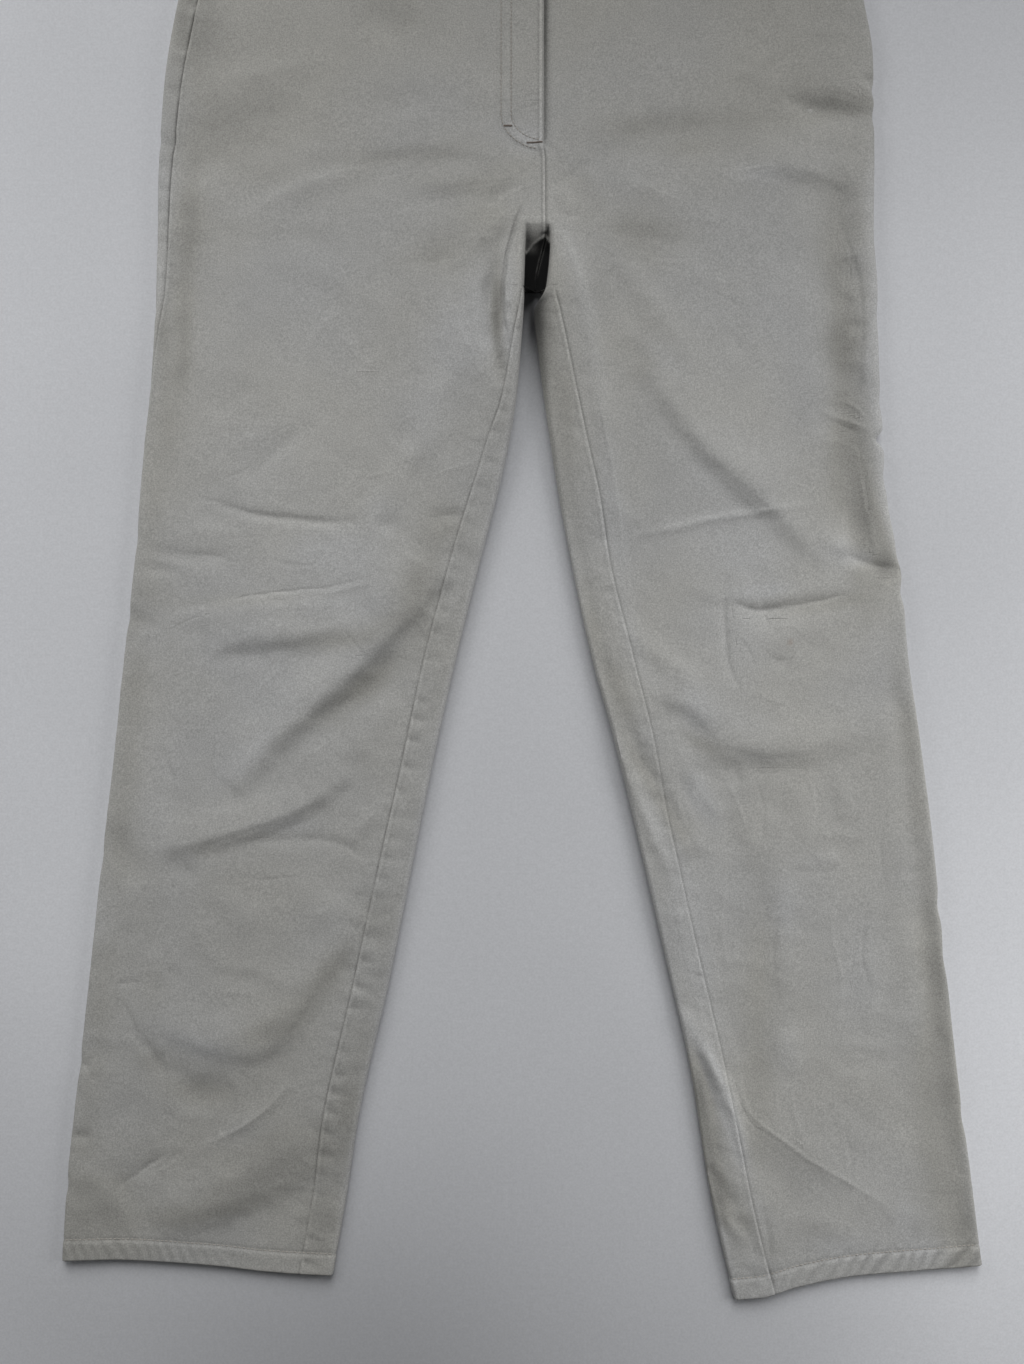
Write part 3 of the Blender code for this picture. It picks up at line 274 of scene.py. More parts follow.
# Fine creases that the finish draws with a bump, painted shade in the troughs and painted highlight on the ridges,
# thinner than the cloth's mesh: path points, half width, height.
CREASES = (
    (((-268.3, -275.9), (-255.1, -268.3), (-230, -262), (-204.3, -257.1), (-175.8, -253.7), (-143.9, -251.6)), 2.88, 0.42),
    (((-264.1, -280.1), (-246.7, -271), (-230, -266.2), (-212, -263.4)), 1.44, -0.15),
    (((-230, -259.2), (-204.3, -254.4), (-175.8, -250.9), (-156.4, -249.5), (-141.1, -246), (-121.6, -241.9)), 1.44, -0.35),
    (((-155, -253.7), (-141.1, -250.2), (-120.2, -245.3)), 1.68, 0.3),
    (((-232.8, -189.7), (-216.8, -193.2), (-198.1, -198.1), (-172.4, -200.9), (-150.1, -202.9), (-127.9, -202.2)), 2.4, -0.4),
    (((-242.6, -185.6), (-237, -187.6), (-231.4, -190.4)), 1.44, -0.31),
    (((-141.1, -277.3), (-132, -287.7), (-121.6, -298.8)), 1.44, -0.2),
    (((-249.5, -224.5), (-229.3, -226.6), (-214.1, -231.4)), 1.68, -0.2),
    (((-79.9, -171), (-64.6, -166.8), (-42.4, -159.8)), 1.56, 0.2),
    (((-125.1, -172.4), (-114.7, -169.6), (-105.6, -167.5)), 1.56, 0.25),
    (((-80.6, -200.2), (-67.4, -198.8), (-54.9, -198.1)), 1.8, -0.2),
    (((-257.1, -430.9), (-236.3, -427.4), (-207.8, -418.4), (-182.1, -410), (-159.8, -400.3), (-143.9, -387.8)), 2.64, -0.35),
    (((-170.3, -346.1), (-150.1, -329.4), (-118.8, -300.9), (-92.4, -273.8), (-73, -251.6), (-64.6, -241.9)), 3.12, -0.3),
    (((-209.9, -424.6), (-184.2, -424.6), (-159.8, -423.9), (-139, -428.1), (-123, -438.5)), 1.8, -0.12),
    (((-237.7, -636.6), (-209.9, -622.7), (-191.8, -608.8), (-177.9, -592.8)), 1.92, 0.35),
    (((-259.2, -640.1), (-280.1, -654), (-298.2, -666.5)), 1.8, -0.3),
    (((-298.2, -524), (-289.8, -523.3), (-280.8, -522.6)), 1.32, -0.25),
    (((-213.4, -582.4), (-191.8, -575.5), (-174.4, -555.3), (-156.4, -526.8), (-132, -498.3)), 2.88, -0.2),
    (((-234.2, -177.9), (-208.5, -166.8), (-196.7, -156.4)), 1.44, -0.19),
    (((-15.3, 16.7), (-24.3, -11.8), (-28.5, -34.8), (-29.2, -59.8), (-25, -84.8)), 1.44, -1.8),
    (((-3.5, 32.7), (-16, 27.1), (-31.3, 18.8), (-41.7, 11.1)), 1.68, 0.3),
    (((-79.9, 26.4), (-60.5, 29.9), (-35.4, 31.3), (-17.4, 34.8)), 1.68, -0.15),
    (((-269, 59.8), (-256.5, 59.8)), 1.56, -0.6),
    (((-265.5, 76.4), (-256.5, 76.4)), 1.44, -0.37),
    (((-264.1, 92.4), (-255.1, 92.4)), 1.44, -0.25),
    (((-14.6, 91.7), (-6.9, 93.1), (-1.4, 92.4)), 1.44, -0.2),
    (((-16.7, 84.8), (-8.3, 85.5), (-1.4, 87.6)), 1.56, -0.2),
    (((59.8, -212.7), (84.8, -208.5), (116.8, -200.9), (142.5, -197.4), (166.8, -193.2), (193.2, -189.7)), 2.64, 0.3),
    (((130.7, -259.2), (142.5, -263.4), (155, -264.1), (171, -261.3)), 2.4, -0.9),
    (((168.9, -262), (193.2, -257.1), (212, -252.3)), 1.56, -0.62),
    (((126.5, -237.7), (125.1, -250.2)), 1.92, -0.2),
    (((125.1, -255.8), (125.1, -271), (125.8, -284.9), (127.9, -301.6), (134.1, -317.6)), 1.92, -0.6),
    (((149.4, -262), (153.6, -269.7), (156.4, -279.4)), 1.32, -0.25),
    (((161.9, -276.6), (171.7, -275.2), (180, -282.2)), 1.32, 0.22),
    (((156.4, -296.1), (163.3, -299.5), (171.7, -297.5)), 1.44, -0.31),
    (((113.3, -158.5), (132.7, -177.2), (155, -196.7), (173.8, -215.4)), 2.88, -0.3),
    (((187.6, 97.3), (205, 93.1), (217.5, 88.3), (230, 86.2)), 2.4, -0.25),
    (((213.4, 101.5), (220.3, 97.3), (230, 92.4)), 1.8, 0.5),
    (((159.8, 41.7), (177.9, 37.5), (193.2, 31.3), (208.5, 26.4), (217.5, 26.4)), 2.4, -0.2),
    (((127.2, 38.9), (142.5, 42.4), (157.8, 43.8)), 1.56, 0.25),
    (((52.1, 34.1), (73, 28.5), (93.8, 19.5)), 1.56, 0.12),
    (((12.5, 30.6), (18.8, 38.2), (27.8, 46.6)), 1.56, -0.15),
    (((10.4, 15.3), (18.8, 9.7), (27.8, 11.8)), 1.56, 0.15),
    (((191.8, -126.5), (212, -133.4), (227.3, -141.1)), 1.56, 0.35),
    (((194.6, -130.7), (212, -137.6), (223.1, -143.9)), 1.44, -0.25),
    (((209.2, -154.3), (217.5, -156.4), (224.5, -161.2)), 1.56, 0.25),
    (((210.6, -225.9), (220.3, -230), (231.4, -233.5), (248.8, -236.3)), 2.64, -0.8),
    (((107, -358.6), (129.3, -362.1), (155, -367), (180, -364.9), (199.5, -358.6)), 2.64, -0.25),
    (((107.7, -343.3), (116.1, -353.1), (121.6, -362.8)), 1.92, -0.15),
    (((46.6, -346.1), (59.1, -378.8), (75.8, -417), (89.7, -451.7)), 1.8, 0.5),
    (((100.8, -381.6), (111.9, -396.1), (123, -409.4)), 1.68, 0.15),
    (((53.5, -337.1), (66, -365.6), (79.9, -390.6)), 1.92, -0.5),
    (((91, -390.6), (98, -404.5), (104.2, -420.5)), 1.92, -0.2),
    (((145.9, -319.7), (156.4, -326.6), (170.3, -329.4)), 1.56, 0.19),
    (((165.4, -444.1), (185.6, -446.2), (207.8, -445.5)), 1.56, -0.08),
    (((93.1, -543.5), (107, -561.6), (121.6, -583.1), (129.3, -603.3)), 2.16, 0.6),
    (((132.7, -583.1), (136.2, -597.7), (143.9, -615.8), (161.9, -630.4), (187, -648.4), (212, -662.3), (241.2, -681.1)), 1.8, 0.35),
    (((130.7, -587.3), (134.1, -600.5), (141.8, -618.5), (160.5, -633.1)), 1.56, -0.15),
    (((113.3, -651.9), (123, -667.2), (132.7, -678.3)), 2.4, -0.5),
    (((153.6, -720), (156.4, -728.4), (161.2, -738.1)), 1.92, -0.4),
    (((200.9, 22.2), (208.5, -4.2), (216.8, -32), (219.6, -62.5), (218.9, -94.5), (220.3, -119.5)), 1.92, -0.45),
    (((216.1, -137.6), (221.7, -173.8), (224.5, -201.5), (230, -226.6)), 1.92, -0.4),
    (((198.1, 20.8), (197.4, -13.9), (200.9, -41.7), (196.7, -69.5), (195.3, -104.2)), 2.88, -0.25),
    (((202.2, -38.9), (212, -45.9), (220.3, -50)), 2.4, 0.3),
    (((210.6, -4.2), (206.4, -22.2), (212, -38.9)), 2.16, -0.3),
    (((34.1, -107), (41, -139), (46.6, -166.8), (51.4, -198.1), (54.9, -226.6)), 1.56, 0.45),
    (((-170.3, -95.9), (-161.9, -76.4), (-149.4, -61.2), (-138.3, -56.3)), 3, 0.35),
    (((-136.9, -69.5), (-134.1, -83.4), (-124.4, -91), (-111.2, -86.9)), 3, 0.3),
    (((-62.5, -63.9), (-52.1, -83.4), (-46.6, -98.7)), 2.64, 0.25),
    (((-214.8, 7.6), (-191.1, 20.8), (-167.5, 32), (-139, 40.3), (-97.3, 45.9)), 3.12, 0.12),
    (((7.6, 1.4), (20.2, -25), (29.9, -55.6)), 2.4, 0.4),
    (((-242.6, -185.6), (-217.5, -191.1)), 1.68, -0.3),
    (((218.9, -166.8), (224.5, -201.5), (231.4, -229.3)), 2.4, 0.4),
    (((203.6, -116.8), (216.1, -123.7), (224.5, -134.8)), 1.68, 0.4),
    (((199.5, -145.9), (212, -150.1), (223.1, -159.8)), 1.92, 0.35),
    (((-274.5, -656.8), (-260.6, -646.3), (-249.5, -639.4)), 1.92, -0.3),
    (((163.3, -469.1), (159.2, -500.4), (161.9, -535.1)), 2.16, -0.25),
    (((203.6, -451.7), (199.5, -486.5), (206.4, -524.7), (202.2, -556)), 2.16, 0.3),
    (((225.9, -465.6), (220.3, -500.4), (227.3, -535.1)), 1.92, -0.3),
    (((125.8, -451.7), (123, -486.5), (128.6, -521.2)), 1.92, 0.25),
    (((178.6, -569.9), (171.7, -604.6), (181.4, -639.4)), 1.92, 0.25),
    (((238.4, -396.1), (232.8, -430.9), (239.8, -469.1)), 1.92, -0.25),
    (((-205, -326.6), (-192.5, -312.8), (-175.8, -301.6)), 1.92, 0.2),
    (((-267.6, -354.4), (-256.5, -389.2), (-260.6, -417)), 1.92, -0.2),
    (((-295.4, -535.1), (-287, -549), (-282.9, -565.7)), 1.92, -0.3),
    (((208.5, -625.5), (213.4, -649.8), (209.2, -674.1)), 1.92, -0.25),
    (((121.6, -375.3), (132.7, -396.1), (139.7, -417)), 1.68, 0.25),
    (((146.6, -382.2), (152.2, -404.5), (149.4, -430.9)), 1.68, -0.25),
    (((181.4, -375.3), (187, -396.1), (184.2, -421.2)), 1.68, 0.25),
    (((128.6, -278), (141.1, -291.9), (149.4, -312.8)), 1.56, -0.15),
    (((-170.3, -368.3), (-149.4, -355.8), (-134.1, -340.5)), 1.92, 0.2),
    (((-218.9, -444.8), (-199.5, -451.7), (-170.3, -449)), 1.92, -0.2),
    (((-191.1, -229.3), (-170.3, -233.5), (-149.4, -229.3)), 1.68, -0.2),
    (((-149.4, -187.6), (-134.1, -173.8), (-127.2, -154.3)), 1.92, 0.2),
    (((59.1, -13.9), (81.3, -22.2), (107.7, -22.2)), 1.8, 0.2),
    (((107.7, -41.7), (128.6, -48.6), (143.9, -63.9)), 1.8, -0.2),
)

# Long soft dips and rises that keep a set distance from an edge of a leg.
EDGE_COLUMNS = ("leg", "edge", "y0", "y1", "in_from_edge", "width", "height")
EDGE_BANDS = (
    ("right", "outer", 5.0, -130.0, 17.0, 8.0, -1.6),
    ("right", "outer", -230.0, -640.0, 17.0, 9.0, -1.2),
    ("right", "outer", 250.0, 20.0, 26.0, 12.0, -0.8),
    ("left", "outer", 45.0, -70.0, 25.0, 9.0, -2.6),
    ("left", "outer", -55.0, -240.0, 25.0, 11.0, -3.2),
    ("left", "outer", 60.0, -236.0, 46.0, 14.0, 1.4),
    ("left", "outer", -290.0, -500.0, 14.0, 8.0, -1.0),
    ("left", "outer", -430.0, -738.0, 11.0, 9.0, -2.4),
    ("left", "inner", -60.0, -420.0, 7.0, 5.0, -1.0),
    ("left", "inner", -540.0, -665.0, 8.0, 5.0, -1.4),
    ("right", "inner", -120.0, -700.0, 12.0, 6.0, 0.5),
)
# Small notches in the legs' outer lines: leg, y, depth, half length.
DENTS = (
    ("left", -146.0, 5.2, 4.5), ("left", -120.0, 1.2, 8.0), ("left", -172.0, 1.6, 9.0),
    ("left", 96.0, 1.5, 5.0), ("left", 78.0, 1.4, 6.0), ("left", -252.0, 2.0, 7.0),
    ("left", -226.0, 1.4, 9.0), ("left", -470.0, 1.5, 8.0), ("left", -505.0, 1.2, 12.0),
    ("left", -60.0, 0.9, 9.0), ("left", -620.0, 1.1, 10.0),
    ("right", 60.0, 0.8, 6.0), ("right", -215.0, 0.9, 9.0), ("right", -270.0, 1.0, 7.0),
    ("right", -436.0, 0.9, 8.0), ("right", -580.0, 1.0, 8.0), ("right", -668.0, 1.0, 7.0),
)
# Painted light and shade in the cloth's colour: soft ellipses, turned in degrees,
# lighter above 0 and darker below, laid over folds, ridges and edges and where the room's light is weaker or stronger;
# and the same along a leg's edge.
PAINTED_LIGHT_COLUMNS = ("x", "y", "half_length", "half_width", "turn", "amount")
PAINTED_LIGHT_PATCHES = (
    (-39, -62, 15, 34, 0, 0.05), (177, -62, 30, 50, 0, 0.05), (-25, -58, 5, 40, 0, 0.14),
    (18, -22, 8, 30, 18, 0.1), (31, -75, 8, 45, 10, 0.09), (-150, -160, 70, 75, 0, 0.07),
    (108, -118, 60, 60, 0, 0.04), (-170, -245, 70, 60, 0, 0.05), (-170, -327, 62, 52, 0, 0.06),
    (-262, -368, 28, 44, 0, 0.06), (120, -290, 60, 60, 0, 0.04), (-10, 190, 330, 120, 0, -0.12),
    (180, 130, 60, 110, 0, -0.04), (-230, -640, 120, 110, 0, -0.07), (-285, -458, 26, 42, 0, -0.06),
    (247, -674, 40, 50, 0, 0.07), (-312, -668, 24, 26, 0, -0.08), (-292, -712, 46, 9, 0, -0.09),
    (208, -15, 11, 26, 0, 0.03), (208, -92, 11, 36, 0, -0.08), (207, -155, 9, 34, 0, -0.08),
    (2, -58, 7, 32, 0, -0.14), (0, -95, 6, 34, 0, -0.06), (-235, 128, 14, 60, 0, -0.1),
    (-205, 88, 30, 12, 0, -0.05), (-85, -262, 16, 34, 0, -0.12), (-236, 5, 18, 20, 0, -0.06),
    (148, -545, 10, 110, 0, -0.09), (150, -375, 34, 16, 0, -0.05), (-212, -588, 36, 15, 0, -0.03),
    (118, -366, 18, 20, 0, -0.03), (-63, -73, 24, 30, 0, 0.13), (-83, -125, 14, 24, 0, 0.07),
    (47, -195, 8, 60, 8, 0.11), (60, -285, 8, 30, 20, 0.12), (76, -313, 14, 12, 0, 0.06),
    (137, -224, 42, 26, 0, 0.14), (139, -285, 26, 24, 0, 0.09), (204, -224, 18, 8, 0, 0.1),
    (108, -167, 26, 10, -45, 0.07), (156, -125, 40, 60, 0, 0.05), (73, -410, 9, 24, 25, 0.13),
    (101, -486, 10, 50, 12, 0.11), (101, -556, 6, 22, 25, 0.12), (127, -614, 6, 33, 19, 0.38),
    (167, -473, 8, 22, 0, 0.08), (169, -577, 10, 24, 0, 0.08), (219, -525, 16, 40, 0, 0.06),
    (205, -707, 22, 9, 0, 0.13), (271, -710, 18, 10, 0, 0.12), (-212, -295, 23, 11, 0, 0.11),
    (-275, -285, 12, 18, 0, 0.06), (-213, -370, 22, 9, 42, 0.13), (-179, -414, 26, 6, 0, 0.09),
    (-271, -410, 14, 30, 0, 0.08), (-304, -471, 11, 30, 0, 0.12), (-236, -570, 24, 7, -12, 0.1),
    (-320, -650, 14, 9, 0, 0.09), (-212, -626, 22, 8, 20, 0.08), (-146, -224, 36, 16, 0, 0.11),
    (-115, -193, 12, 14, 0, 0.1), (-10, 64, 14, 9, 0, 0.09), (153, 39, 21, 7, 0, 0.13),
    (101, -334, 14, 8, -35, 0.08), (-229, -139, 30, 24, 0, 0.05), (101, -35, 26, 18, 0, 0.04),
    (66, 71, 36, 9, 4, -0.09), (136, 75, 36, 9, 0, -0.07), (202, 90, 30, 6, -8, -0.12),
    (-101, 51, 42, 7, 6, -0.08), (-45, 31, 22, 8, 6, -0.08), (-38, 3, 18, 14, 50, -0.09),
    (-70, -10, 26, 12, 0, -0.07), (66, 1, 30, 11, -4, -0.11), (-219, 73, 32, 12, 15, -0.09),
    (-244, 15, 8, 41, 0, -0.1), (-252, -63, 7, 50, 0, -0.08), (206, -136, 8, 14, 0, -0.09),
    (218, -172, 7, 24, 14, -0.11), (227, -203, 6, 20, 16, -0.14), (237, -234, 8, 10, 0, -0.14),
    (54, -327, 5, 20, 18, -0.09), (70, -379, 5, 34, 28, -0.14), (91, -414, 5, 22, 30, -0.12),
    (146, -546, 12, 50, 0, -0.05), (270, -556, 9, 56, 4, -0.12), (293, -701, 8, 16, 0, -0.11),
    (261, -667, 12, 14, 0, -0.07), (115, -659, 8, 18, 20, -0.16), (134, -689, 10, 10, 0, -0.08),
    (-215, -667, 25, 10, 17, -0.19), (-184, -648, 29, 12, 27, -0.24),
    (-149, -634, 18, 16, 30, -0.12), (-184, -551, 22, 9, 35, -0.17), (-146, -509, 22, 9, 50, -0.11),
    (-124, -474, 12, 14, 0, -0.09), (-241, -600, 22, 8, -8, -0.17), (-273, -579, 14, 8, -37, -0.12),
    (-140, -285, 32, 7, 3, -0.18), (-122, -314, 24, 9, 41, -0.3), (-156, -336, 26, 7, 35, -0.09),
    (-92, -250, 12, 22, -20, -0.11), (-74, -208, 12, 16, -30, -0.11), (-278, -254, 16, 6, 0, -0.07),
    (-288, -275, 8, 12, 0, -0.07), (-253, 145, 7, 13, 0, -0.18), (-104, 147, 24, 16, 0, -0.07),
    (-316, -702, 30, 14, 0, -0.06), (-136, -608, 12, 26, 0, -0.09), (66, -94, 14, 26, 40, -0.04),
    (15, -116, 6, 30, 5, -0.1), (31, 17, 16, 10, 0, -0.05), (108, -357, 15, 5, -30, -0.14),
    (208, -257, 14, 5, 10, -0.07), (-210, -257, 50, 5, 4, -0.11), (-33.5, -61, 4, 26, 0, -0.4),
    (114, -584, 5, 19, 21, 0.24), (-236, -682, 32, 6, 8, -0.16), (-156, -525, 24, 12, 45, -0.08),
    (-202, -559, 20, 7, 10, -0.06), (-110, -274, 18, 8, 21, -0.14), (-261, 56, 24, 14, 0, -0.06),
    (-191, 66, 34, 8, 0, -0.05), (-52, 10, 24, 9, 0, -0.07), (-83, -22, 24, 9, 0, -0.06),
    (108, 59, 60, 7, 3, -0.06), (70, -17, 24, 10, -30, -0.08), (218, -22, 5, 10, 0, 0.08),
    (224, -96, 5, 18, 0, 0.08), (236, -238, 12, 5, 0, -0.13), (194, -261, 24, 5, 8, -0.12),
    (153, -251, 22, 5, 8, 0.15), (108, -342, 12, 9, -40, 0.07), (108, -395, 7, 16, 30, 0.1),
    (250, -320, 7, 14, 0, 0.09), (108, -205, 34, 10, 10, 0.04), (-281, -272, 14, 8, 0, -0.07),
    (131, -674, 7, 16, 15, -0.1), (268, -605, 7, 14, 0, 0.07), (-28, 68, 20, 8, -10, 0.06),
    (76, -80, 20, 8, -35, 0.05), (208, -591, 40, 40, 0, 0.03), (-275, -462, 28, 10, 0, 0.05),
    (-309, -488, 8, 20, 0, 0.06), (-254, -560, 22, 7, -14, 0.07), (-292, -619, 26, 22, 0, 0.04),
    (219, -228, 9, 5, 0, 0.14), (108, -327, 16, 10, -40, 0.07), (116, -407, 9, 14, 30, 0.08),
    (206, -229, 19, 18, 0, 0.09), (70, -351, 8, 16, 20, 0.06), (156, -366, 18, 5, 0, 0.06),
    (167, -497, 8, 34, 0, 0.04), (188, -439, 16, 6, 0, 0.05), (146, -678, 8, 14, 25, 0.09),
    (250, -685, 8, 16, 0, 0.07), (-250, -17, 6, 30, 0, 0.06), (-144, -629, 9, 7, 0, 0.1),
    (-197, -358, 16, 6, 50, 0.07), (-9, 58, 10, 6, 0, 0.08), (-66, -89, 16, 14, 0, 0.05),
    (85, -92, 14, 8, -40, 0.05), (-264, -83, 5, 30, 0, -0.12), (-259, -139, 8, 20, 0, -0.07),
    (-222, 54, 20, 10, 0, -0.08), (-195, -3, 36, 12, 0, -0.06), (-23, 43, 16, 7, 0, -0.06),
    (23, 33, 12, 8, 0, -0.08), (183, 79, 14, 6, 0, -0.08), (49, -313, 6, 18, 18, -0.07),
    (33, -278, 5, 20, 15, -0.08), (-80, -235, 10, 16, -30, -0.07), (-226, -452, 26, 12, 0, -0.05),
    (-315, -563, 8, 8, 0, 0.07), (-170, -650, 18, 10, 25, -0.06), (-162, -685, 8, 10, 0, -0.08),
    (-302, -678, 20, 14, 0, -0.06), (-330, -705, 8, 10, 0, -0.1), (262, -497, 7, 16, 0, -0.06),
    (264, -643, 10, 12, 0, -0.07), (147, -598, 8, 16, 0, -0.07), (158, -709, 8, 8, 0, -0.07),
    (-47, -40, 9, 14, 0, 0.08), (209, -188, 7, 40, 0, 0.1), (224, -228, 9, 8, 0, 0.1),
    (206, -129, 8, 8, 0, 0.12), (219, -257, 20, 10, 0, 0.05), (233, -292, 20, 30, 0, 0.05),
    (101, -321, 14, 10, -35, 0.07), (139, -342, 20, 10, 0, 0.04), (106, -389, 7, 14, 0, 0.11),
    (134, -639, 5, 18, 15, 0.11), (293, -639, 5, 10, 0, 0.1), (-213, 132, 30, 20, 0, -0.06),
    (-197, 38, 28, 9, 0, -0.06), (-83, 35, 16, 7, 0, -0.06), (101, 54, 20, 7, 0, -0.05),
    (-146, -341, 14, 8, 0, -0.06), (-235, -432, 12, 7, 0, -0.08), (-272, -525, 8, 16, 0, -0.07),
    (-197, -636, 34, 8, 25, -0.07), (-254, -685, 16, 9, 0, -0.07), (-294, -664, 10, 6, 0, -0.06),
    (-152, -687, 7, 12, 0, -0.07), (139, -692, 5, 16, 0, -0.08), (275, -507, 5, 18, 0, -0.05),
    (-275, -243, 16, 10, 0, -0.06), (-63, -205, 9, 9, 0, -0.06), (66, -97, 6, 16, -40, -0.05),
    (236, -229, 4, 12, 0, -0.08), (136, -466, 58, 250, 0, 0.04), (198, -268, 48, 46, 0, 0.035),
    (-198, 94, 90, 60, 0, -0.045), (111, -535, 12, 55, 12, 0.05), (-134, -259, 22, 9, 0, 0.04),
    (197, -24, 10, 18, 0, -0.06), (-74, -19, 16, 14, 0, -0.05), (-36, -81, 4, 6, 0, 0.07),
    (-29, -96, 4, 12, 0, -0.07), (-22, -64, 4, 12, 0, -0.08), (-295, -692, 8, 10, 0, -0.04),
    (101, -417, 7, 9, -40, -0.05), (188, -650, 22, 7, -30, -0.04), (66, 17, 10, 20, -35, -0.04),
    (-235, 96, 10, 8, 0, -0.03), (206, 82, 15, 4, -9, -0.08),
)
PAINTED_LIGHT_BANDS = (
    ("left", "outer", 60.0, -290.0, 26.0, 12.0, -0.18),
    ("left", "outer", 80.0, -250.0, 3.0, 5.0, 0.17),
    ("left", "outer", -250.0, -620.0, 8.0, 8.0, -0.12),
    ("left", "outer", -540.0, -790.0, 15.0, 14.0, -0.20),
    ("left", "inner", -40.0, -240.0, 3.0, 12.0, -0.10),
    ("right", "inner", -20.0, -790.0, 0.0, 2.6, 0.16),
    ("left", "inner", -150.0, -790.0, 0.0, 2.4, 0.12),
    ("left", "inner", -200.0, -420.0, 4.0, 7.0, -0.03),
    ("left", "inner", -560.0, -700.0, 3.0, 6.0, -0.40),
    ("right", "outer", 40.0, -130.0, 21.0, 7.0, -0.13),
    ("right", "outer", 90.0, -70.0, 3.0, 7.0, 0.12),
    ("right", "outer", -90.0, -250.0, 10.0, 10.0, -0.06),
    ("right", "outer", -240.0, -720.0, 10.0, 10.0, -0.08),
    ("right", "inner", -430.0, -790.0, 9.0, 14.0, -0.08),
)


# -------------------------------------------------------------- functions
def slopes(xs, ys):
    h = np.diff(xs)
    d = np.diff(ys) / h
    m = np.zeros_like(ys)
    for i in range(1, len(xs) - 1):
        if d[i - 1] * d[i] > 0:
            w1, w2 = 2 * h[i] + h[i - 1], h[i] + 2 * h[i - 1]
            m[i] = (w1 + w2) / (w1 / d[i - 1] + w2 / d[i])
    m[0], m[-1] = d[0], d[-1]
    return m


def curve(xs, ys, x):
    """Monotone cubic through the points, for one x or many."""
    xs, ys = np.asarray(xs, float), np.asarray(ys, float)
    if xs[0] > xs[-1]:
        xs, ys = xs[::-1], ys[::-1]
    m = slopes(xs, ys)
    x = np.clip(x, xs[0], xs[-1])
    i = np.clip(np.searchsorted(xs, x) - 1, 0, len(xs) - 2)
    h = xs[i + 1] - xs[i]
    t = (x - xs[i]) / h
    return ((2 * t**3 - 3 * t**2 + 1) * ys[i] + (t**3 - 2 * t**2 + t) * h * m[i]
            + (3 * t**2 - 2 * t**3) * ys[i + 1] + (t**3 - t**2) * h * m[i + 1])


def smooth(edge0, edge1, x):
    t = np.clip((x - edge0) / (edge1 - edge0), 0.0, 1.0)
    return t * t * (3 - 2 * t)


class Noise:
    """Seeded smooth noise in the plane, about -1 to 1."""

    def __init__(self, seed, cell):
        self.r = np.random.RandomState(seed)
        self.g = self.r.uniform(0, 2 * math.pi, (64, 64))
        self.cell = cell

    def __call__(self, x, y):
        x, y = np.asarray(x) / self.cell, np.asarray(y) / self.cell
        i, j = np.floor(x).astype(int), np.floor(y).astype(int)
        u, v = x - i, y - j
        su, sv = u * u * u * (u * (u * 6 - 15) + 10), v * v * v * (v * (v * 6 - 15) + 10)

        def corner(a, b):
            ang = self.g[(i + a) % 64, (j + b) % 64]
            return np.cos(ang) * (u - a) + np.sin(ang) * (v - b)
        top = corner(0, 0) * (1 - su) + corner(1, 0) * su
        bot = corner(0, 1) * (1 - su) + corner(1, 1) * su
        return (top * (1 - sv) + bot * sv) * 1.5


def sizes_at(leg, y):
    t = TABLES[leg]
    q = {n: float(curve(t[:, 0], t[:, k], y)) for k, n in enumerate(COLUMNS) if k}
    if y > WEB_END:
        own = float(smooth(0.0, WEB_END, y))
        q["high_in"] = own * q["high_in"] + (1 - own) * float(curve(CENTRE[:, 0], CENTRE[:, 1], y))
    for who, at, depth, half in DENTS:
        if who == leg and abs(y - at) < 4 * half:
            q["outer"] += TOWARDS[leg] * depth * math.exp(-((y - at) / half) ** 2)
    return q


def fly_side(y):
    knee = FLY_END + 25.0
    if y >= knee:
        return -FLY_WIDTH
    t = min((knee - y) / 25.0, 1.0)
    return -FLY_WIDTH * math.sqrt(1.0 - t * t)


def centre_line(y):
    """x of the centre seam, and of the fly's free edge above it."""
    return EDGE_X * float(smooth(FLY_END - 8.0, FLY_END + 6.0, y)) - 6.0 * float(smooth(0.0, -42.0, y))


def web_height(y, top):
    depth = float(smooth(4.0, -16.0, y))
    floor = 3.6 - 1.1 * float(smooth(-16.0, -42.0, y))
    return top + (floor - top) * depth


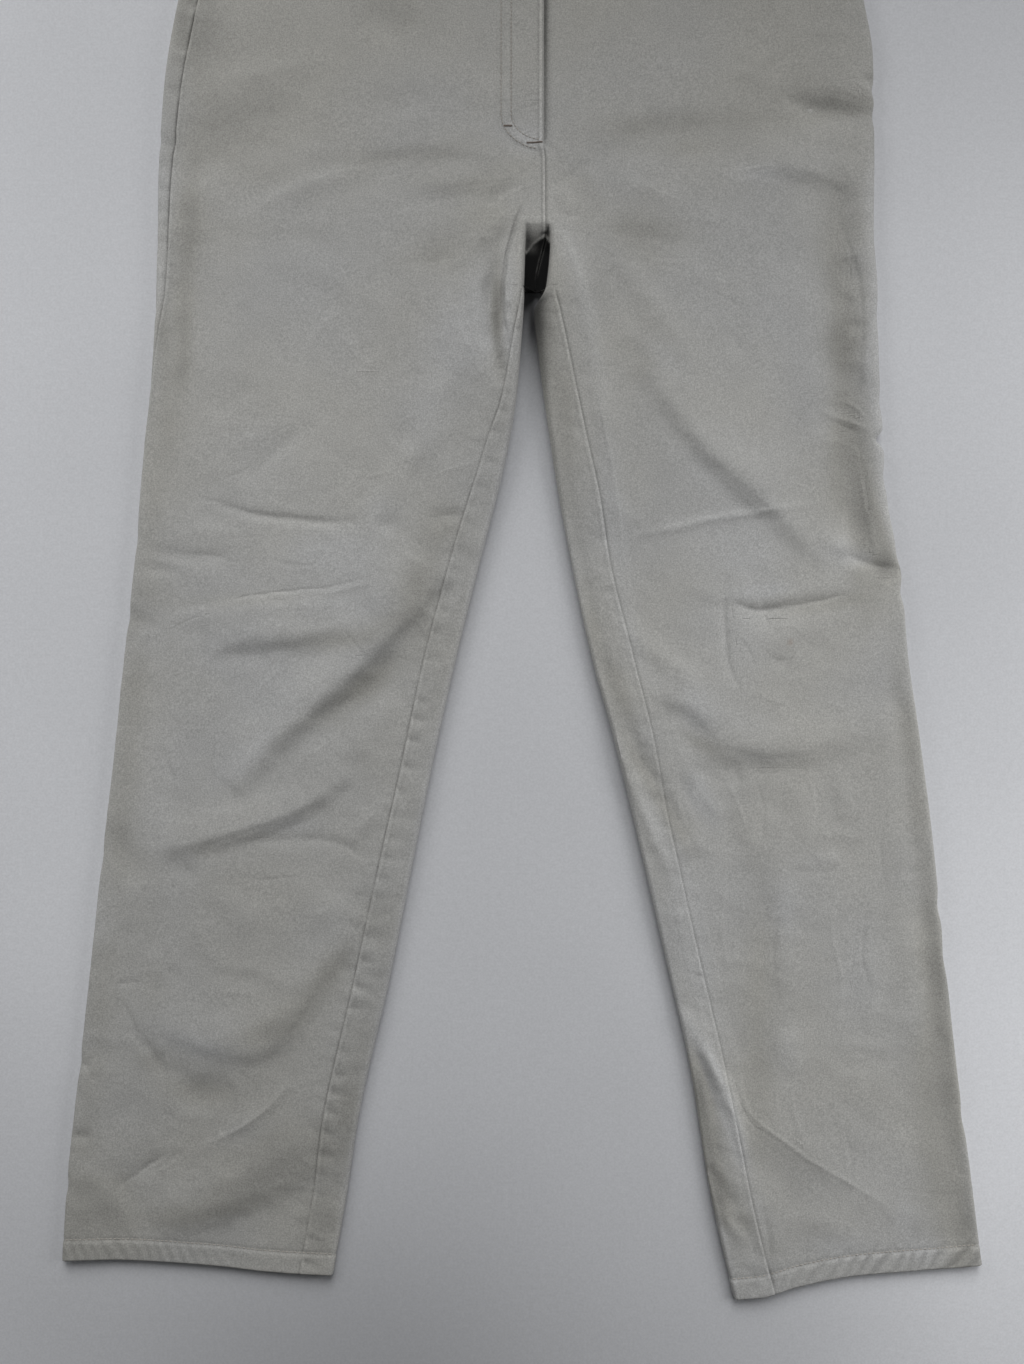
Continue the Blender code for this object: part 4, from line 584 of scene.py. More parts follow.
def half_section(leg, y):
    """Outer line of one half of the garment at y: dense lines from the
    outer edge over the top and along the underside."""
    q = sizes_at(leg, y)
    towards = TOWARDS[leg]
    outer = q["outer"]
    joined = y >= WEB_END - 0.01
    inner = centre_line(y) if joined else q["inner"]
    wide, lip = abs(inner - outer), abs(q["inner"] - outer)
    ro, ri = q["round_out"], q["round_in"]
    ho, hm, hi = q["high_out"], q["high_mid"], q["high_in"]
    shoulder = lip - ri

    def height(u):
        z = hm + (ho - hm) * np.cos(np.clip((u - ro) / 42.0, 0, 1) * math.pi / 2) ** 2
        return z + (hi - hm) * np.cos(np.clip((shoulder - u) / 60.0, 0, 1) * math.pi / 2) ** 2

    a = np.linspace(0, math.pi / 2, 13)
    zo = float(height(ro))
    top = [np.stack([ro * (1 - np.cos(a)), zo / 2 + zo / 2 * np.sin(a)], 1)]
    u = np.linspace(ro, shoulder, 130)[1:]
    top.append(np.stack([u, height(u)], 1))
    zs = float(height(shoulder))
    if joined:
        floor = web_height(y, zs)
        reach = min(ri, wide - shoulder - 0.5)
        b = np.linspace(0, math.pi / 2, 11)[1:]
        top.append(np.stack([shoulder + reach * np.sin(b), floor + (zs - floor) * np.cos(b)], 1))
        u = np.linspace(shoulder + reach, wide, 20)[1:]
        top.append(np.stack([u, np.full_like(u, floor)], 1))
        under_end = wide
    else:
        b = a[1:]
        top.append(np.stack([shoulder + ri * np.sin(b), zs / 2 + zs / 2 * np.cos(b)], 1))
        under_end = shoulder
    under = [np.stack([ro * (1 - np.cos(a)), zo / 2 - zo / 2 * np.sin(a)], 1)]
    u = np.linspace(ro, under_end, 50)[1:]
    under.append(np.stack([u, np.zeros_like(u)], 1))
    if not joined:
        b = a[1:]
        under.append(np.stack([under_end + ri * np.sin(b), zs / 2 - zs / 2 * np.cos(b)], 1))
    return q, joined, wide, lip, np.vstack(top), np.vstack(under), outer, towards


class Section:
    """One ring, walked by length: 0 at the outer edge, positive over the
    top, negative along the underside and on round the inner edge."""

    def __init__(self, leg, y):
        (self.q, self.joined, self.wide, self.lip, top, under,
         self.outer, self.towards) = half_section(leg, y)
        self.leg, self.y = leg, y
        if self.joined:
            line = np.vstack([under[::-1], top[1:]])
            zero = len(under) - 1
        else:
            line = np.vstack([top[1:-1], under[::-1], top[1:]])
            zero = len(top) - 2 + len(under) - 1
        self.line = line
        length = np.concatenate([[0.0], np.cumsum(np.hypot(*np.diff(line, axis=0).T))])
        self.length = length - length[zero]
        self.zero, self.n_under = zero, len(under)
        tangent = np.gradient(line, axis=0)
        tangent /= np.maximum(np.hypot(*tangent.T)[:, None], 1e-9)
        self.outward = np.stack([-tangent[:, 1], tangent[:, 0]], 1)
        self.top_len = self.length[-1]
        self.under_len = -self.length[zero - len(under) + 1]

    def top_at(self, u):
        return float(np.interp(u, self.line[self.zero:, 0], self.length[self.zero:]))

    def under_at(self, u):
        a = self.zero - self.n_under + 1
        seg, lens = self.line[a:self.zero + 1][::-1], self.length[a:self.zero + 1][::-1]
        return float(np.interp(u, seg[:, 0], lens))

    def outseam(self):
        d = self.q["outseam"]
        return self.top_at(d) if d >= 0 else self.under_at(-d)

    def inseam(self):
        return self.top_at(self.lip - self.q["inseam"])

    def points(self, s):
        """x, z and the outward normal's x, z at lengths s."""
        u = np.interp(s, self.length, self.line[:, 0])
        z = np.interp(s, self.length, self.line[:, 1])
        nu = np.interp(s, self.length, self.outward[:, 0])
        nz = np.interp(s, self.length, self.outward[:, 1])
        k = np.maximum(np.hypot(nu, nz), 1e-9)
        past = np.maximum(s - self.top_len, 0.0)
        u = u + past
        return self.outer + self.towards * u, z, self.towards * nu / k, nz / k


def hem_y(leg, x):
    return curve(HEMS[leg][:, 0], HEMS[leg][:, 1], x)


def place_y(leg, ring, x, on_back):
    level = LEVEL[leg]
    y = np.full_like(x, ring)
    if ring < HEM_START:
        y = y + (hem_y(leg, x) - level) * smooth(HEM_START, level, ring)
    if on_back and ring > 60.0:
        y = y + BACK_RISE * smooth(60.0, WAIST_SEAM, ring) * np.cos(
            np.minimum(np.abs(x + 15.0) / 215.0, 1.0) * math.pi / 2) ** 2
    return y


def spline(points, spacing=2.5):
    """Catmull-Rom through a few points, sampled evenly enough."""
    p = np.asarray(points, float)
    if len(p) == 2:
        n = max(int(np.hypot(*(p[1] - p[0])) / spacing), 2)
        return p[0] + (p[1] - p[0]) * np.linspace(0, 1, n + 1)[:, None]
    q = np.vstack([2 * p[0] - p[1], p, 2 * p[-1] - p[-2]])
    out = []
    for k in range(len(p) - 1):
        a, b, c, d = q[k:k + 4]
        n = max(int(np.hypot(*(c - b)) / spacing), 2)
        t = np.linspace(0, 1, n, endpoint=False)[:, None]
        out.append(0.5 * ((2 * b) + (c - a) * t + (2 * a - 5 * b + 4 * c - d) * t**2
                          + (3 * b - a - 3 * c + d) * t**3))
    out.append(p[-1:])
    return np.vstack(out)


def fold_field(x, y, folds):
    """Height that the folds add at plan points x, y."""
    total = np.zeros_like(x)
    wob = Noise(7, 16.0)
    for path, width, height, sharp, lean in folds:
        line = spline(path)
        lo, hi = line.min(0) - 9 * width, line.max(0) + 9 * width
        near = (x > lo[0]) & (x < hi[0]) & (y > lo[1]) & (y < hi[1])
        if not near.any():
            continue
        px = x[near] + 0.12 * width * wob(x[near], y[near])
        py = y[near] + 0.12 * width * wob(y[near] + 90, x[near])
        a, b = line[:-1], line[1:]
        ab = b - a
        L2 = (ab ** 2).sum(1)
        cum = np.concatenate([[0], np.cumsum(np.sqrt(L2))])
        best = np.full(px.shape, 1e9)
        side = np.zeros(px.shape)
        along = np.zeros(px.shape)
        for k in range(len(a)):
            dx, dy = px - a[k, 0], py - a[k, 1]
            t = np.clip((dx * ab[k, 0] + dy * ab[k, 1]) / L2[k], 0, 1)
            ex, ey = dx - t * ab[k, 0], dy - t * ab[k, 1]
            d = ex * ex + ey * ey
            closer = d < best
            best = np.where(closer, d, best)
            side = np.where(closer, ab[k, 0] * dy - ab[k, 1] * dx, side)
            along = np.where(closer, (cum[k] + t * (cum[k + 1] - cum[k])) / cum[-1], along)
        d = np.sqrt(best) * np.sign(side)
        w = width * (1 + 0.55 * lean * np.tanh(d / width))
        round_ = np.exp(-(d / w) ** 2)
        pinch = np.exp(-np.abs(d) / (0.75 * w)) * (1 - 0.5 * np.exp(-(d / (0.3 * w)) ** 2) * 0.3)
        taper = np.sin(np.clip(along, 0, 1) * math.pi) ** 0.7
        swell = 1 + 0.22 * wob(px * 0.55 + 13 * width, py * 0.55)
        total[near] += height * swell * taper * ((1 - sharp) * round_ + sharp * pinch)
    return total


def crease_field(x, y):
    """Signed distance from the strongest fine crease, in its half widths,
    and that crease's height."""
    far = np.full(x.shape, 3.0)
    high = np.zeros_like(x)
    strong = np.zeros_like(x)
    wob = Noise(23, 9.0)
    for path, width, height in CREASES:
        line = spline(path, 1.5)
        lo, hi = line.min(0) - 7.0, line.max(0) + 7.0
        near = (x > lo[0]) & (x < hi[0]) & (y > lo[1]) & (y < hi[1])
        if not near.any():
            continue
        px = x[near] + 0.35 * wob(x[near], y[near])
        py = y[near] + 0.35 * wob(y[near] + 40, x[near])
        a, b = line[:-1], line[1:]
        ab = b - a
        L2 = (ab ** 2).sum(1)
        cum = np.concatenate([[0], np.cumsum(np.sqrt(L2))])
        best = np.full(px.shape, 1e9)
        side = np.zeros(px.shape)
        along = np.zeros(px.shape)
        for k in range(len(a)):
            dx, dy = px - a[k, 0], py - a[k, 1]
            t = np.clip((dx * ab[k, 0] + dy * ab[k, 1]) / L2[k], 0, 1)
            ex, ey = dx - t * ab[k, 0], dy - t * ab[k, 1]
            d = ex * ex + ey * ey
            closer = d < best
            best = np.where(closer, d, best)
            side = np.where(closer, ab[k, 0] * dy - ab[k, 1] * dx, side)
            along = np.where(closer, (cum[k] + t * (cum[k + 1] - cum[k])) / cum[-1], along)
        d = np.sqrt(best) * np.sign(side) / width
        amp = height * np.sin(np.clip(along, 0.0, 1.0) * math.pi) ** 0.6
        amp = amp * (1 + 0.35 * wob(px * 0.8 + 9 * width, py * 0.8))
        power = np.abs(amp) * np.exp(-np.abs(d) * 0.9)
        wins = power > strong[near]
        far[near] = np.where(wins, np.clip(d, -3.0, 3.0), far[near])
        high[near] = np.where(wins, amp * (np.abs(d) < 3.0), high[near])
        strong[near] = np.where(wins, power, strong[near])
    return far, high


def painted_light_field(leg, x, y):
    """How much lighter or darker the cloth's colour is painted, as painted light and shade."""
    total = np.zeros_like(x)
    for cx, cy, rx, ry, turn, amount in PAINTED_LIGHT_PATCHES:
        c, s = math.cos(math.radians(turn)), math.sin(math.radians(turn))
        u, v = (x - cx) * c + (y - cy) * s, (y - cy) * c - (x - cx) * s
        total += amount * np.exp(-((u / rx) ** 2 + (v / ry) ** 2))
    t = TABLES[leg]
    edge = {"outer": curve(t[:, 0], t[:, 1], y), "inner": curve(t[:, 0], t[:, 2], y)}
    wob = Noise(29, 30.0)
    for who, side, y0, y1, inset, width, amount in PAINTED_LIGHT_BANDS:
        if who != leg:
            continue
        d = np.abs(x - edge[side]) - inset
        mid, half = (y0 + y1) / 2, abs(y1 - y0) / 2
        run = smooth(1.0, 0.6, np.abs(y - mid) / half)
        total += amount * run * np.exp(-(d / width) ** 2) * (1 + 0.4 * wob(x * 0.4, y))
    return total


def edge_field(leg, x, y):
    """Dips and rises that follow the legs' edges."""
    total = np.zeros_like(x)
    t = TABLES[leg]
    edge = {"outer": curve(t[:, 0], t[:, 1], y), "inner": curve(t[:, 0], t[:, 2], y)}
    wob = Noise(19, 34.0)
    for who, side, y0, y1, inset, width, height in EDGE_BANDS:
        if who != leg:
            continue
        d = np.abs(x - edge[side]) - inset * (1 + 0.18 * wob(y, x * 0.2))
        mid, half = (y0 + y1) / 2, abs(y1 - y0) / 2
        run = smooth(1.0, 0.55, np.abs(y - mid) / half)
        total += height * run * np.exp(-(d / width) ** 2) * (1 + 0.35 * wob(x * 0.3 + 50, y))
    return total


# ---------------------------------------------------------- cloth surface
BIG, MID, FINE = Noise(3, 95.0), Noise(4, 38.0), Noise(5, 13.0)
PUCK, SEAM = Noise(8, 7.0), Noise(9, 45.0)
FACET, CRUMPLE = Noise(31, 42.0), Noise(32, 17.0)


def top_field(leg, x, y):
    """All height added to cloth that faces up."""
    z = fold_field(x, y, FOLDS) + edge_field(leg, x, y)
    z += 0.65 * BIG(x, y) + 0.30 * MID(x, y) + 0.07 * FINE(x, y)
    wx, wy = x + 12.0 * MID(y + 200, x), y + 12.0 * MID(x, y + 300)
    z -= 1.0 * np.abs(FACET(0.8 * wx + 0.45 * wy, wy - 0.3 * wx)) * smooth(-0.6, 0.8, BIG(x + 90, y))
    z -= 0.35 * np.abs(CRUMPLE(wx - 0.5 * wy, wy + 0.4 * wx)) * smooth(-0.5, 0.7, BIG(x, y + 60))
    return z


UNDER_FOLDS = (
    (((-60, 30), (-120, 10), (-190, 20)), 8, 1.4, 0.2, 0),
    (((-30, 70), (-90, 60), (-150, 78)), 9, 1.0, 0.1, 0),
    (((40, 30), (100, 14), (160, 34)), 8, 1.3, 0.2, 0),
    (((-90, -230), (-160, -250), (-240, -236)), 6, 1.5, 0.3, 0),
    (((-100, -262), (-170, -290), (-250, -280)), 9, 1.6, 0.1, 0),
    (((50, -226), (120, -250), (200, -238)), 6, 1.5, 0.3, 0),
    (((70, -280), (140, -300), (220, -292)), 9, 1.4, 0.1, 0),
    (((-180, -420), (-230, -450), (-280, -455)), 8, 1.2, 0.2, 0),
    (((130, -430), (180, -470), (240, -480)), 8, 1.2, 0.2, 0),
    (((-200, -560), (-240, -600), (-290, -610)), 9, 1.1, 0.1, 0),
    (((150, -600), (200, -620), (260, -615)), 9, 1.0, 0.1, 0),
)


EDGE = np.array([0.0, 0.35, 0.8, 1.4, 2.2, 3.3, 4.8])


def columns(start, a, b, stop, counts):
    """Places across a strip in three parts, closer together near both
    seams; the first two parts keep their place from ring to ring."""
    sign = 1.0 if stop > start else -1.0
    na, nb, nc = counts
    first = np.concatenate([EDGE[:-1], np.linspace(EDGE[-1], abs(a - start), na - 6)])
    second = abs(a - start) + np.linspace(0.0, abs(b - a), nb + 1)[1:]
    rest = abs(stop - b)
    fine = EDGE * min(1.0, rest / 9.0)
    third = np.concatenate([np.linspace(0.0, rest - fine[-1], nc - 5)[1:], (rest - fine[:-1])[::-1]])
    return start + sign * np.concatenate([first, second, abs(b - start) + third])


def parts_of(sec, which):
    """Where the parts of a strip meet on this ring."""
    q = sec.q
    if which == "front":
        u = sec.lip - max(q["round_in"] + 1.0, q["inseam"] + 9.0)
        return sec.top_at(u - 18.0), sec.top_at(u)
    u = sec.lip - q["round_in"] - 3.0
    return sec.under_at(u - 14.0), sec.under_at(u)


def rings_of(leg):
    level = LEVEL[leg]
    low = level + np.array([0.0, 0.2, 0.5, 0.9, 1.4, 2.2, 3.3])
    hem = np.arange(level + 4.6, level + 24.0, 1.5)
    leg_part = np.arange(hem[-1] + STEP, WEB_END - 13.0, STEP)
    near = np.arange(leg_part[-1] + 1.2, WEB_END - 1.9, 1.2)
    fork = np.array([WEB_END - 1.2, WEB_END - 0.10, WEB_END - 0.05, WEB_END + 0.02])
    body = np.arange(10.0, WAIST_SEAM + 1.2, STEP)
    hollow = np.arange(WEB_END + 0.8, 9.4, 0.8)
    rings = np.concatenate([low, hem, leg_part, near, fork, hollow, body])[::-1]
    if len(rings) % 2 == 0:
        rings = np.concatenate([[rings[0] + 0.8], rings])
    return rings


def front_span(sec):
    start = sec.outseam()
    if sec.joined:
        stop = sec.top_len
        if sec.leg == "left" and sec.y > FLY_END:
            stop += 5.0 * float(smooth(FLY_END, FLY_END + 6.0, sec.y))
    else:
        stop = sec.inseam()
    return start, stop


def back_span(sec):
    start = sec.outseam()
    if sec.joined:
        return start, -sec.under_len
    return start, -(sec.under_len + sec.top_len - sec.inseam())


def build_strip(leg, which):
    """Grid of one panel's outer surface and what the finish needs."""
    rings = rings_of(leg)
    span = front_span if which == "front" else back_span
    counts = (92, 16, 25) if which == "front" else (76, 12, 33)
    count = sum(counts)
    n = len(rings)
    X, Y, Z, NX, NZ, D0, D1 = (np.zeros((n, count)) for _ in range(7))
    for i, ring in enumerate(rings):
        sec = Section(leg, ring)
        a, b = span(sec)
        s = columns(a, *parts_of(sec, which), b, counts)
        X[i], Z[i], NX[i], NZ[i] = sec.points(s)
        D0[i], D1[i] = np.abs(s - a), np.abs(b - s)
        Y[i] = place_y(leg, ring, X[i], which == "back")
    return dict(leg=leg, which=which, rings=rings, X=X, Y=Y, Z=Z, NX=NX, NZ=NZ, D0=D0, D1=D1)


def groove(d, width, depth):
    return -depth * np.exp(-(d / width) ** 2)


def shape_strip(g):
    """Adds folds, seams, hem and fly to a strip; returns outer points, wall
    and masks for the material, most of them painted light and shade."""
    leg, X, Y, Z, NX, NZ = g["leg"], g["X"], g["Y"], g["Z"], g["NX"], g["NZ"]
    R = np.repeat(g["rings"][:, None], X.shape[1], 1)
    H = R - LEVEL[leg]                       # distance up from the hem edge
    up = smooth(0.25, 0.85, NZ)              # faces up
    down = smooth(-0.3, -0.9, NZ)
    front = g["which"] == "front"
    d_out, d_in = g["D0"], g["D1"]           # from the outseam, the inseam
    fade = smooth(0.0, 30.0, WAIST_SEAM + 4.0 - R) * 0.8 + 0.2
    lift = top_field(leg, X, Y) * up * fade
    calm = smooth(0.0, 26.0, H)              # the stitched hem lies flatter
    lift *= 0.35 + 0.65 * calm
    web = (R < 6.0) & (R >= WEB_END - 2.0)
    in_web = web & (Z < web_line(R) + 3.0) & (np.abs(X + 2.0) < 16.0)
    lift = np.where(in_web, 0.0, lift)
    under = fold_field(X, Y, UNDER_FOLDS)
    under += 0.25 + 0.5 * MID(X + 400, Y) + 0.25 * FINE(X + 400, Y)
    lift += np.maximum(under, 0.0) * down * smooth(0.0, 14.0, H)

    # --- seams: a fine groove on the front's side, a fine ridge on the
    # back's, pressed allowances under them and short puckers across
    out = np.zeros_like(X)
    along = Y + 0.25 * X
    show = np.clip(0.72 + 0.55 * SEAM(Y, X * 0.15), 0.2, 1.0)
    short = np.clip(PUCK(along * 0.9, X * 0.20 + 300), -1, 1)
    on_leg = smooth(WEB_END - 1.0, WEB_END - 7.0, R)
    allow = 0.16 * smooth(11.5, 9.5, d_in) * smooth(0.3, 2.0, d_in)
    wide = 24.0
    if front:
        out += on_leg * up * (0.30 if leg == "right" else 0.2) * short * smooth(14.0, 8.0, d_in)
        out -= on_leg * (0.10 + 0.25 * show) * np.exp(-(d_in / 0.9) ** 2)
    else:
        amp = 0.8 if leg == "right" else 0.4
        dash = np.sin(2 * math.pi * (along / 16.0 + 0.6 * MID(Y * 0.7, X * 0.1 + 40)))
        power = np.clip(0.75 + 0.9 * MID(Y * 0.9 + 70, X * 0.1), 0.15, 1.2)
        pucker = on_leg * (1.3 * amp - 0.2) * power * smooth(0.55, 0.95, dash) * smooth(12.0, 4.0, d_in) * smooth(1.4, 2.6, d_in)
        dash = power * (0.25 * np.clip(-dash, 0, 1) - 1.6 * np.clip(dash - 0.5, 0, 1))
        out += on_leg * up * amp * dash * smooth(15.0, 3.0, d_in) * smooth(0.2, 1.3, d_in)
        out += on_leg * up * amp * 0.55 * MID(X * 1.2, Y * 1.9) * smooth(8.0, 16.0, d_in)
        out += on_leg * up * 0.22 * short * smooth(wide, wide - 8.0, d_in) * smooth(0.5, 3.5, d_in)
        out += on_leg * show * 0.42 * np.exp(-((d_in - 1.0) / 0.8) ** 2)
    out += on_leg * allow
    # outseam
    short = np.clip(PUCK(along * 0.75 + 200, X * 0.2), -1, 1)
    out += 0.24 * short * smooth(13.0, 8.0, d_out) * smooth(-0.2, 0.6, NZ)
    hip = smooth(-25.0, 5.0, R) * (leg == "right")
    if not front:
        pinch = PUCK(along * 0.7 + 120, X * 0.1)
        pinch = 0.3 * np.clip(-pinch, 0, 1) - 1.5 * np.clip(pinch - 0.2, 0, 1)
        out += hip * pinch * smooth(13.0, 3.0, d_out) * smooth(0.2, 1.3, d_out) * smooth(-0.2, 0.6, NZ)
    if front:
        out += 0.32 * show * np.exp(-((d_out - 0.9) / 0.8) ** 2)
    else:
        out -= (0.45 + 0.5 * hip) * np.exp(-(d_out / 1.0) ** 2)
    # centre seam of the back, and of the front below the fly
    on_body = smooth(WEB_END + 0.2, WEB_END + 1.2, R)
    if not front:
        out += on_body * (groove(d_in, 1.2, 0.6) + 0.12 * short * smooth(12.0, 6.0, d_in))
    elif leg == "right":
        low = smooth(FLY_END + 5.0, FLY_END - 4.0, R) * on_body
        out += low * (0.35 * smooth(3.6, 2.4, d_in) - 0.35 * np.exp(-((d_in - 2.4) / 0.55) ** 2)
                      + 0.35 * np.exp(-((d_in - 0.6) / 0.6) ** 2) - 0.4 * smooth(0.4, 0.0, d_in))
    else:
        low = smooth(FLY_END + 5.0, FLY_END - 4.0, R) * on_body
        high = smooth(FLY_END - 2.0, FLY_END + 12.0, R) * (0.55 + 0.45 * smooth(FLY_END + 20.0, 170.0, R))
        out += low * (-0.3 * smooth(2.2, 0.2, d_in))
        out -= high * 1.5 * np.exp(-((d_in - 5.6) / 3.2) ** 2)
        out += on_body * (0.25 * np.exp(-((d_in - 12.0) / 3.0) ** 2)) * smooth(-20.0, 10.0, R)
    Z2 = Z + lift + NZ * out
    X2 = X + NX * out

    # --- fly: the right front stands up on its facing
    if front and leg == "right":
        side = np.array([fly_side(max(r, FLY_END + 0.5)) for r in g["rings"]])[:, None]
        on = smooth(FLY_END - 5.0, FLY_END + 3.0, R)
        plate = smooth(-2.2, 0.8, X - side) * on
        Z2 += FLY_LIFT * plate
        Z2 += 0.9 * smooth(7.0, 1.0, d_in) * on
        Z2 -= 0.9 * smooth(1.3, 0.0, d_in) ** 2 * on
        for off, depth in ((0.4, 0.24), (0.4 + FLY_ROWS, 0.24)):
            dist = fly_distance(X, R, off)
            Z2 -= depth * np.exp(-(dist / 0.7) ** 2) * on
        rows = sum(np.exp(-(fly_distance(X, R, off) / 0.8) ** 2) for off in (0.5, 0.5 + FLY_ROWS)) * on
        inside = smooth(0.0, 4.0, fly_distance_in(X, R))
        Z2 += on * inside * (0.16 * PUCK(X * 0.8, Y * 0.35) + 0.1 * MID(X * 2, Y * 2))

    # --- hem: stitched down at HEM_STITCH, puffed and roped below it
    band = smooth(HEM_STITCH, HEM_STITCH - 3.0, H) * smooth(0.0, 2.0, H)
    stitch = np.exp(-((H - HEM_STITCH) / 1.1) ** 2)
    if leg == "left":
        rope_amp = 0.22 + 0.98 * smooth(165.0, 225.0, X)
    else:
        rope_amp = 0.07 + 0.45 * smooth(-205.0, -265.0, X)
    lean = -0.55 if leg == "left" else 0.45
    phase = (X + lean * H) / (11.0 if leg == "left" else 8.8)
    phase = phase + 0.75 * MID(X * 1.3, H * 0.2 + 10)
    rope = np.sin(2 * math.pi * phase)
    rope = np.where(rope > 0, 0.75 * rope, -np.abs(rope) ** 1.6)
    facing = np.maximum(np.abs(NZ), 0.0)
    hem = 0.30 * band - 0.42 * stitch + rope_amp * rope * band * facing * (0.7 + 0.5 * MID(X, H + 70))
    hem += 0.3 * rope_amp * rope * facing * smooth(HEM_STITCH + 9.0, HEM_STITCH, H) * smooth(HEM_STITCH - 1, HEM_STITCH + 1, H)
    hem *= smooth(WAIST_SEAM, 0.0, R)
    hem -= 0.85 * smooth(1.2, 0.0, H) ** 2
    hem = np.where((NZ < -0.2), np.minimum(hem, 0.0), hem)
    Z2 += NZ * hem
    X2 += NX * hem
    # the top edge tucks under the waistband
    Z2 -= np.sign(NZ) * 0.9 * smooth(WAIST_SEAM - 1.5, WAIST_SEAM + 0.6, R)
    wave = 0.0
    Z2 = np.maximum(Z2, 0.0 + wave)
    wall = np.where(H < HEM_STITCH + 1.0, HEM_WALL, WALL)

    # --- masks: painted highlights, with some rubbed wear, on ridges and edges; painted shade in grooves, seams and puckers; the fork painted near black as shade
    # hem: painted highlight, with rubbed wear, on the folded edge and the rope crests; painted shade in the stitch
    # groove and the rope troughs
    wear_and_sheen = 0.55 * smooth(2.6, 0.4, H) + 0.3 * rope * band
    dark = 0.2 * stitch * (NZ > 0) + 0.5 * np.clip(-rope, 0, 1) * rope_amp * band
    if front:
        # front: painted highlight on the outseam ridge; painted shade lines beside the outseam and along the inseam
        wear_and_sheen = wear_and_sheen + 0.7 * show * np.exp(-((d_out - 0.9) / 0.8) ** 2)
        dark = dark + 0.4 * show * (np.exp(-((d_out - 2.6) / 0.8) ** 2) )
        line = 0.9 if leg == "right" else 0.4 + 0.6 * smooth(-300.0, -200.0, R)
        dark = dark + line * on_leg * (0.5 + 0.5 * show) * np.exp(-((d_in - 0.5) / 0.8) ** 2)
        if leg == "right":
            # fly and centre seam: painted highlight on their edges; painted shade in the grooves and the stitch rows
            wear_and_sheen = wear_and_sheen + 2.0 * low * np.exp(-((d_in - 0.8) / 0.8) ** 2)
            wear_and_sheen = wear_and_sheen + 2.0 * on * np.exp(-((d_in - 1.7) / 0.8) ** 2)
            dark = dark + 0.8 * on * np.exp(-((d_in - 3.3) / 0.7) ** 2)
            dark = dark + 0.30 * rows
            dark = dark + 1.3 * low * np.exp(-((d_in - 2.4) / 0.6) ** 2)
        else:
            # painted shadow beside the fly's free edge and along the centre seam
            dark = dark + on_body * (1.3 * high * np.exp(-((d_in - 6.9) / 3.4) ** 2) + 0.9 * low * np.exp(-((d_in - 0.7) / 0.9) ** 2))
    else:
        line = 1.0 if leg == "right" else 0.9 + 0.9 * smooth(-300.0, -180.0, R)
        # back: painted highlight on the seam ridge; painted shade beside it, in the puckers and inside the outseam
        wear_and_sheen = wear_and_sheen + line * on_leg * (0.4 + 0.6 * show) * np.exp(-((d_in - 1.2) / 0.85) ** 2)
        dark = dark + 0.35 * line * on_leg * show * np.exp(-((d_in - 3.0) / 0.7) ** 2)
        dark = dark + 0.6 * pucker
        dark = dark + (0.6 + 0.4 * hip) * np.exp(-((d_out - 0.6) / 0.8) ** 2) + 0.3 * hip * smooth(14.0, 9.0, d_out)
    lineshade = dark
    lineshade, wear_and_sheen, fork = paint_fork_light_and_shade(X, R, Z2, NZ, front, lineshade, wear_and_sheen)
    # painted near black shade on the hollow's lower wall
    rim_ = (R < WEB_END) & (R > WEB_END - 0.07) & (np.abs(X + 5.2) < 14.0)
    fork = np.where(rim_, 1.0, fork)         # the hollow's lower wall
    # painted shade where the left leg's inner edge turns down into the gap
    if leg == "left":                        # the inner edge turns down into the gap
        t = TABLES[leg]
        gap = (X - curve(t[:, 0], t[:, 2], Y)) / np.interp(Y, (-125.0, -90.0, -60.0, -50.0, -44.0), (2.2, 4.5, 7.0, 6.0, 3.0))
        gap = np.exp(-np.maximum(gap - 0.25, 0.0) ** 2) * (R < WEB_END) * (NZ > -0.6)
        fork = np.maximum(fork, gap * np.interp(Y, (-130.0, -95.0, -70.0, -52.0, -43.0), (0.0, 0.42, 0.72, 0.88, 0.0)))
    # painted shadow in the gap beside the fly's free edge
    if front and leg == "left":              # the gap beside the fly's free edge
        fork = fork + 0.45 * on_body * high * np.exp(-((d_in - 6.4) / 1.6) ** 2)
    # painted light and shade from the patches and bands on faces that look up; a little random tone on faces that look
    # down
    fade = painted_light_field(leg, X, Y) * smooth(-0.2, 0.5, NZ) + 0.03 * BIG(X + 700, Y) * smooth(0.2, -0.5, NZ)
    crease, crease_h = np.full_like(X, 3.0), np.zeros_like(X)
    if front:
        crease, crease_h = crease_field(X, Y)
        crease_h = crease_h * smooth(0.3, 0.8, NZ)
    masks = dict(wear_and_sheen=np.clip(wear_and_sheen, 0, 2.2), shade=np.clip(lineshade, 0, 1.6), fork=np.clip(fork, 0, 1),
                 fade=fade, crease=crease, crease_h=crease_h)
    g.update(X=X2, Z=Z2, wall=wall, masks=masks)
    return g


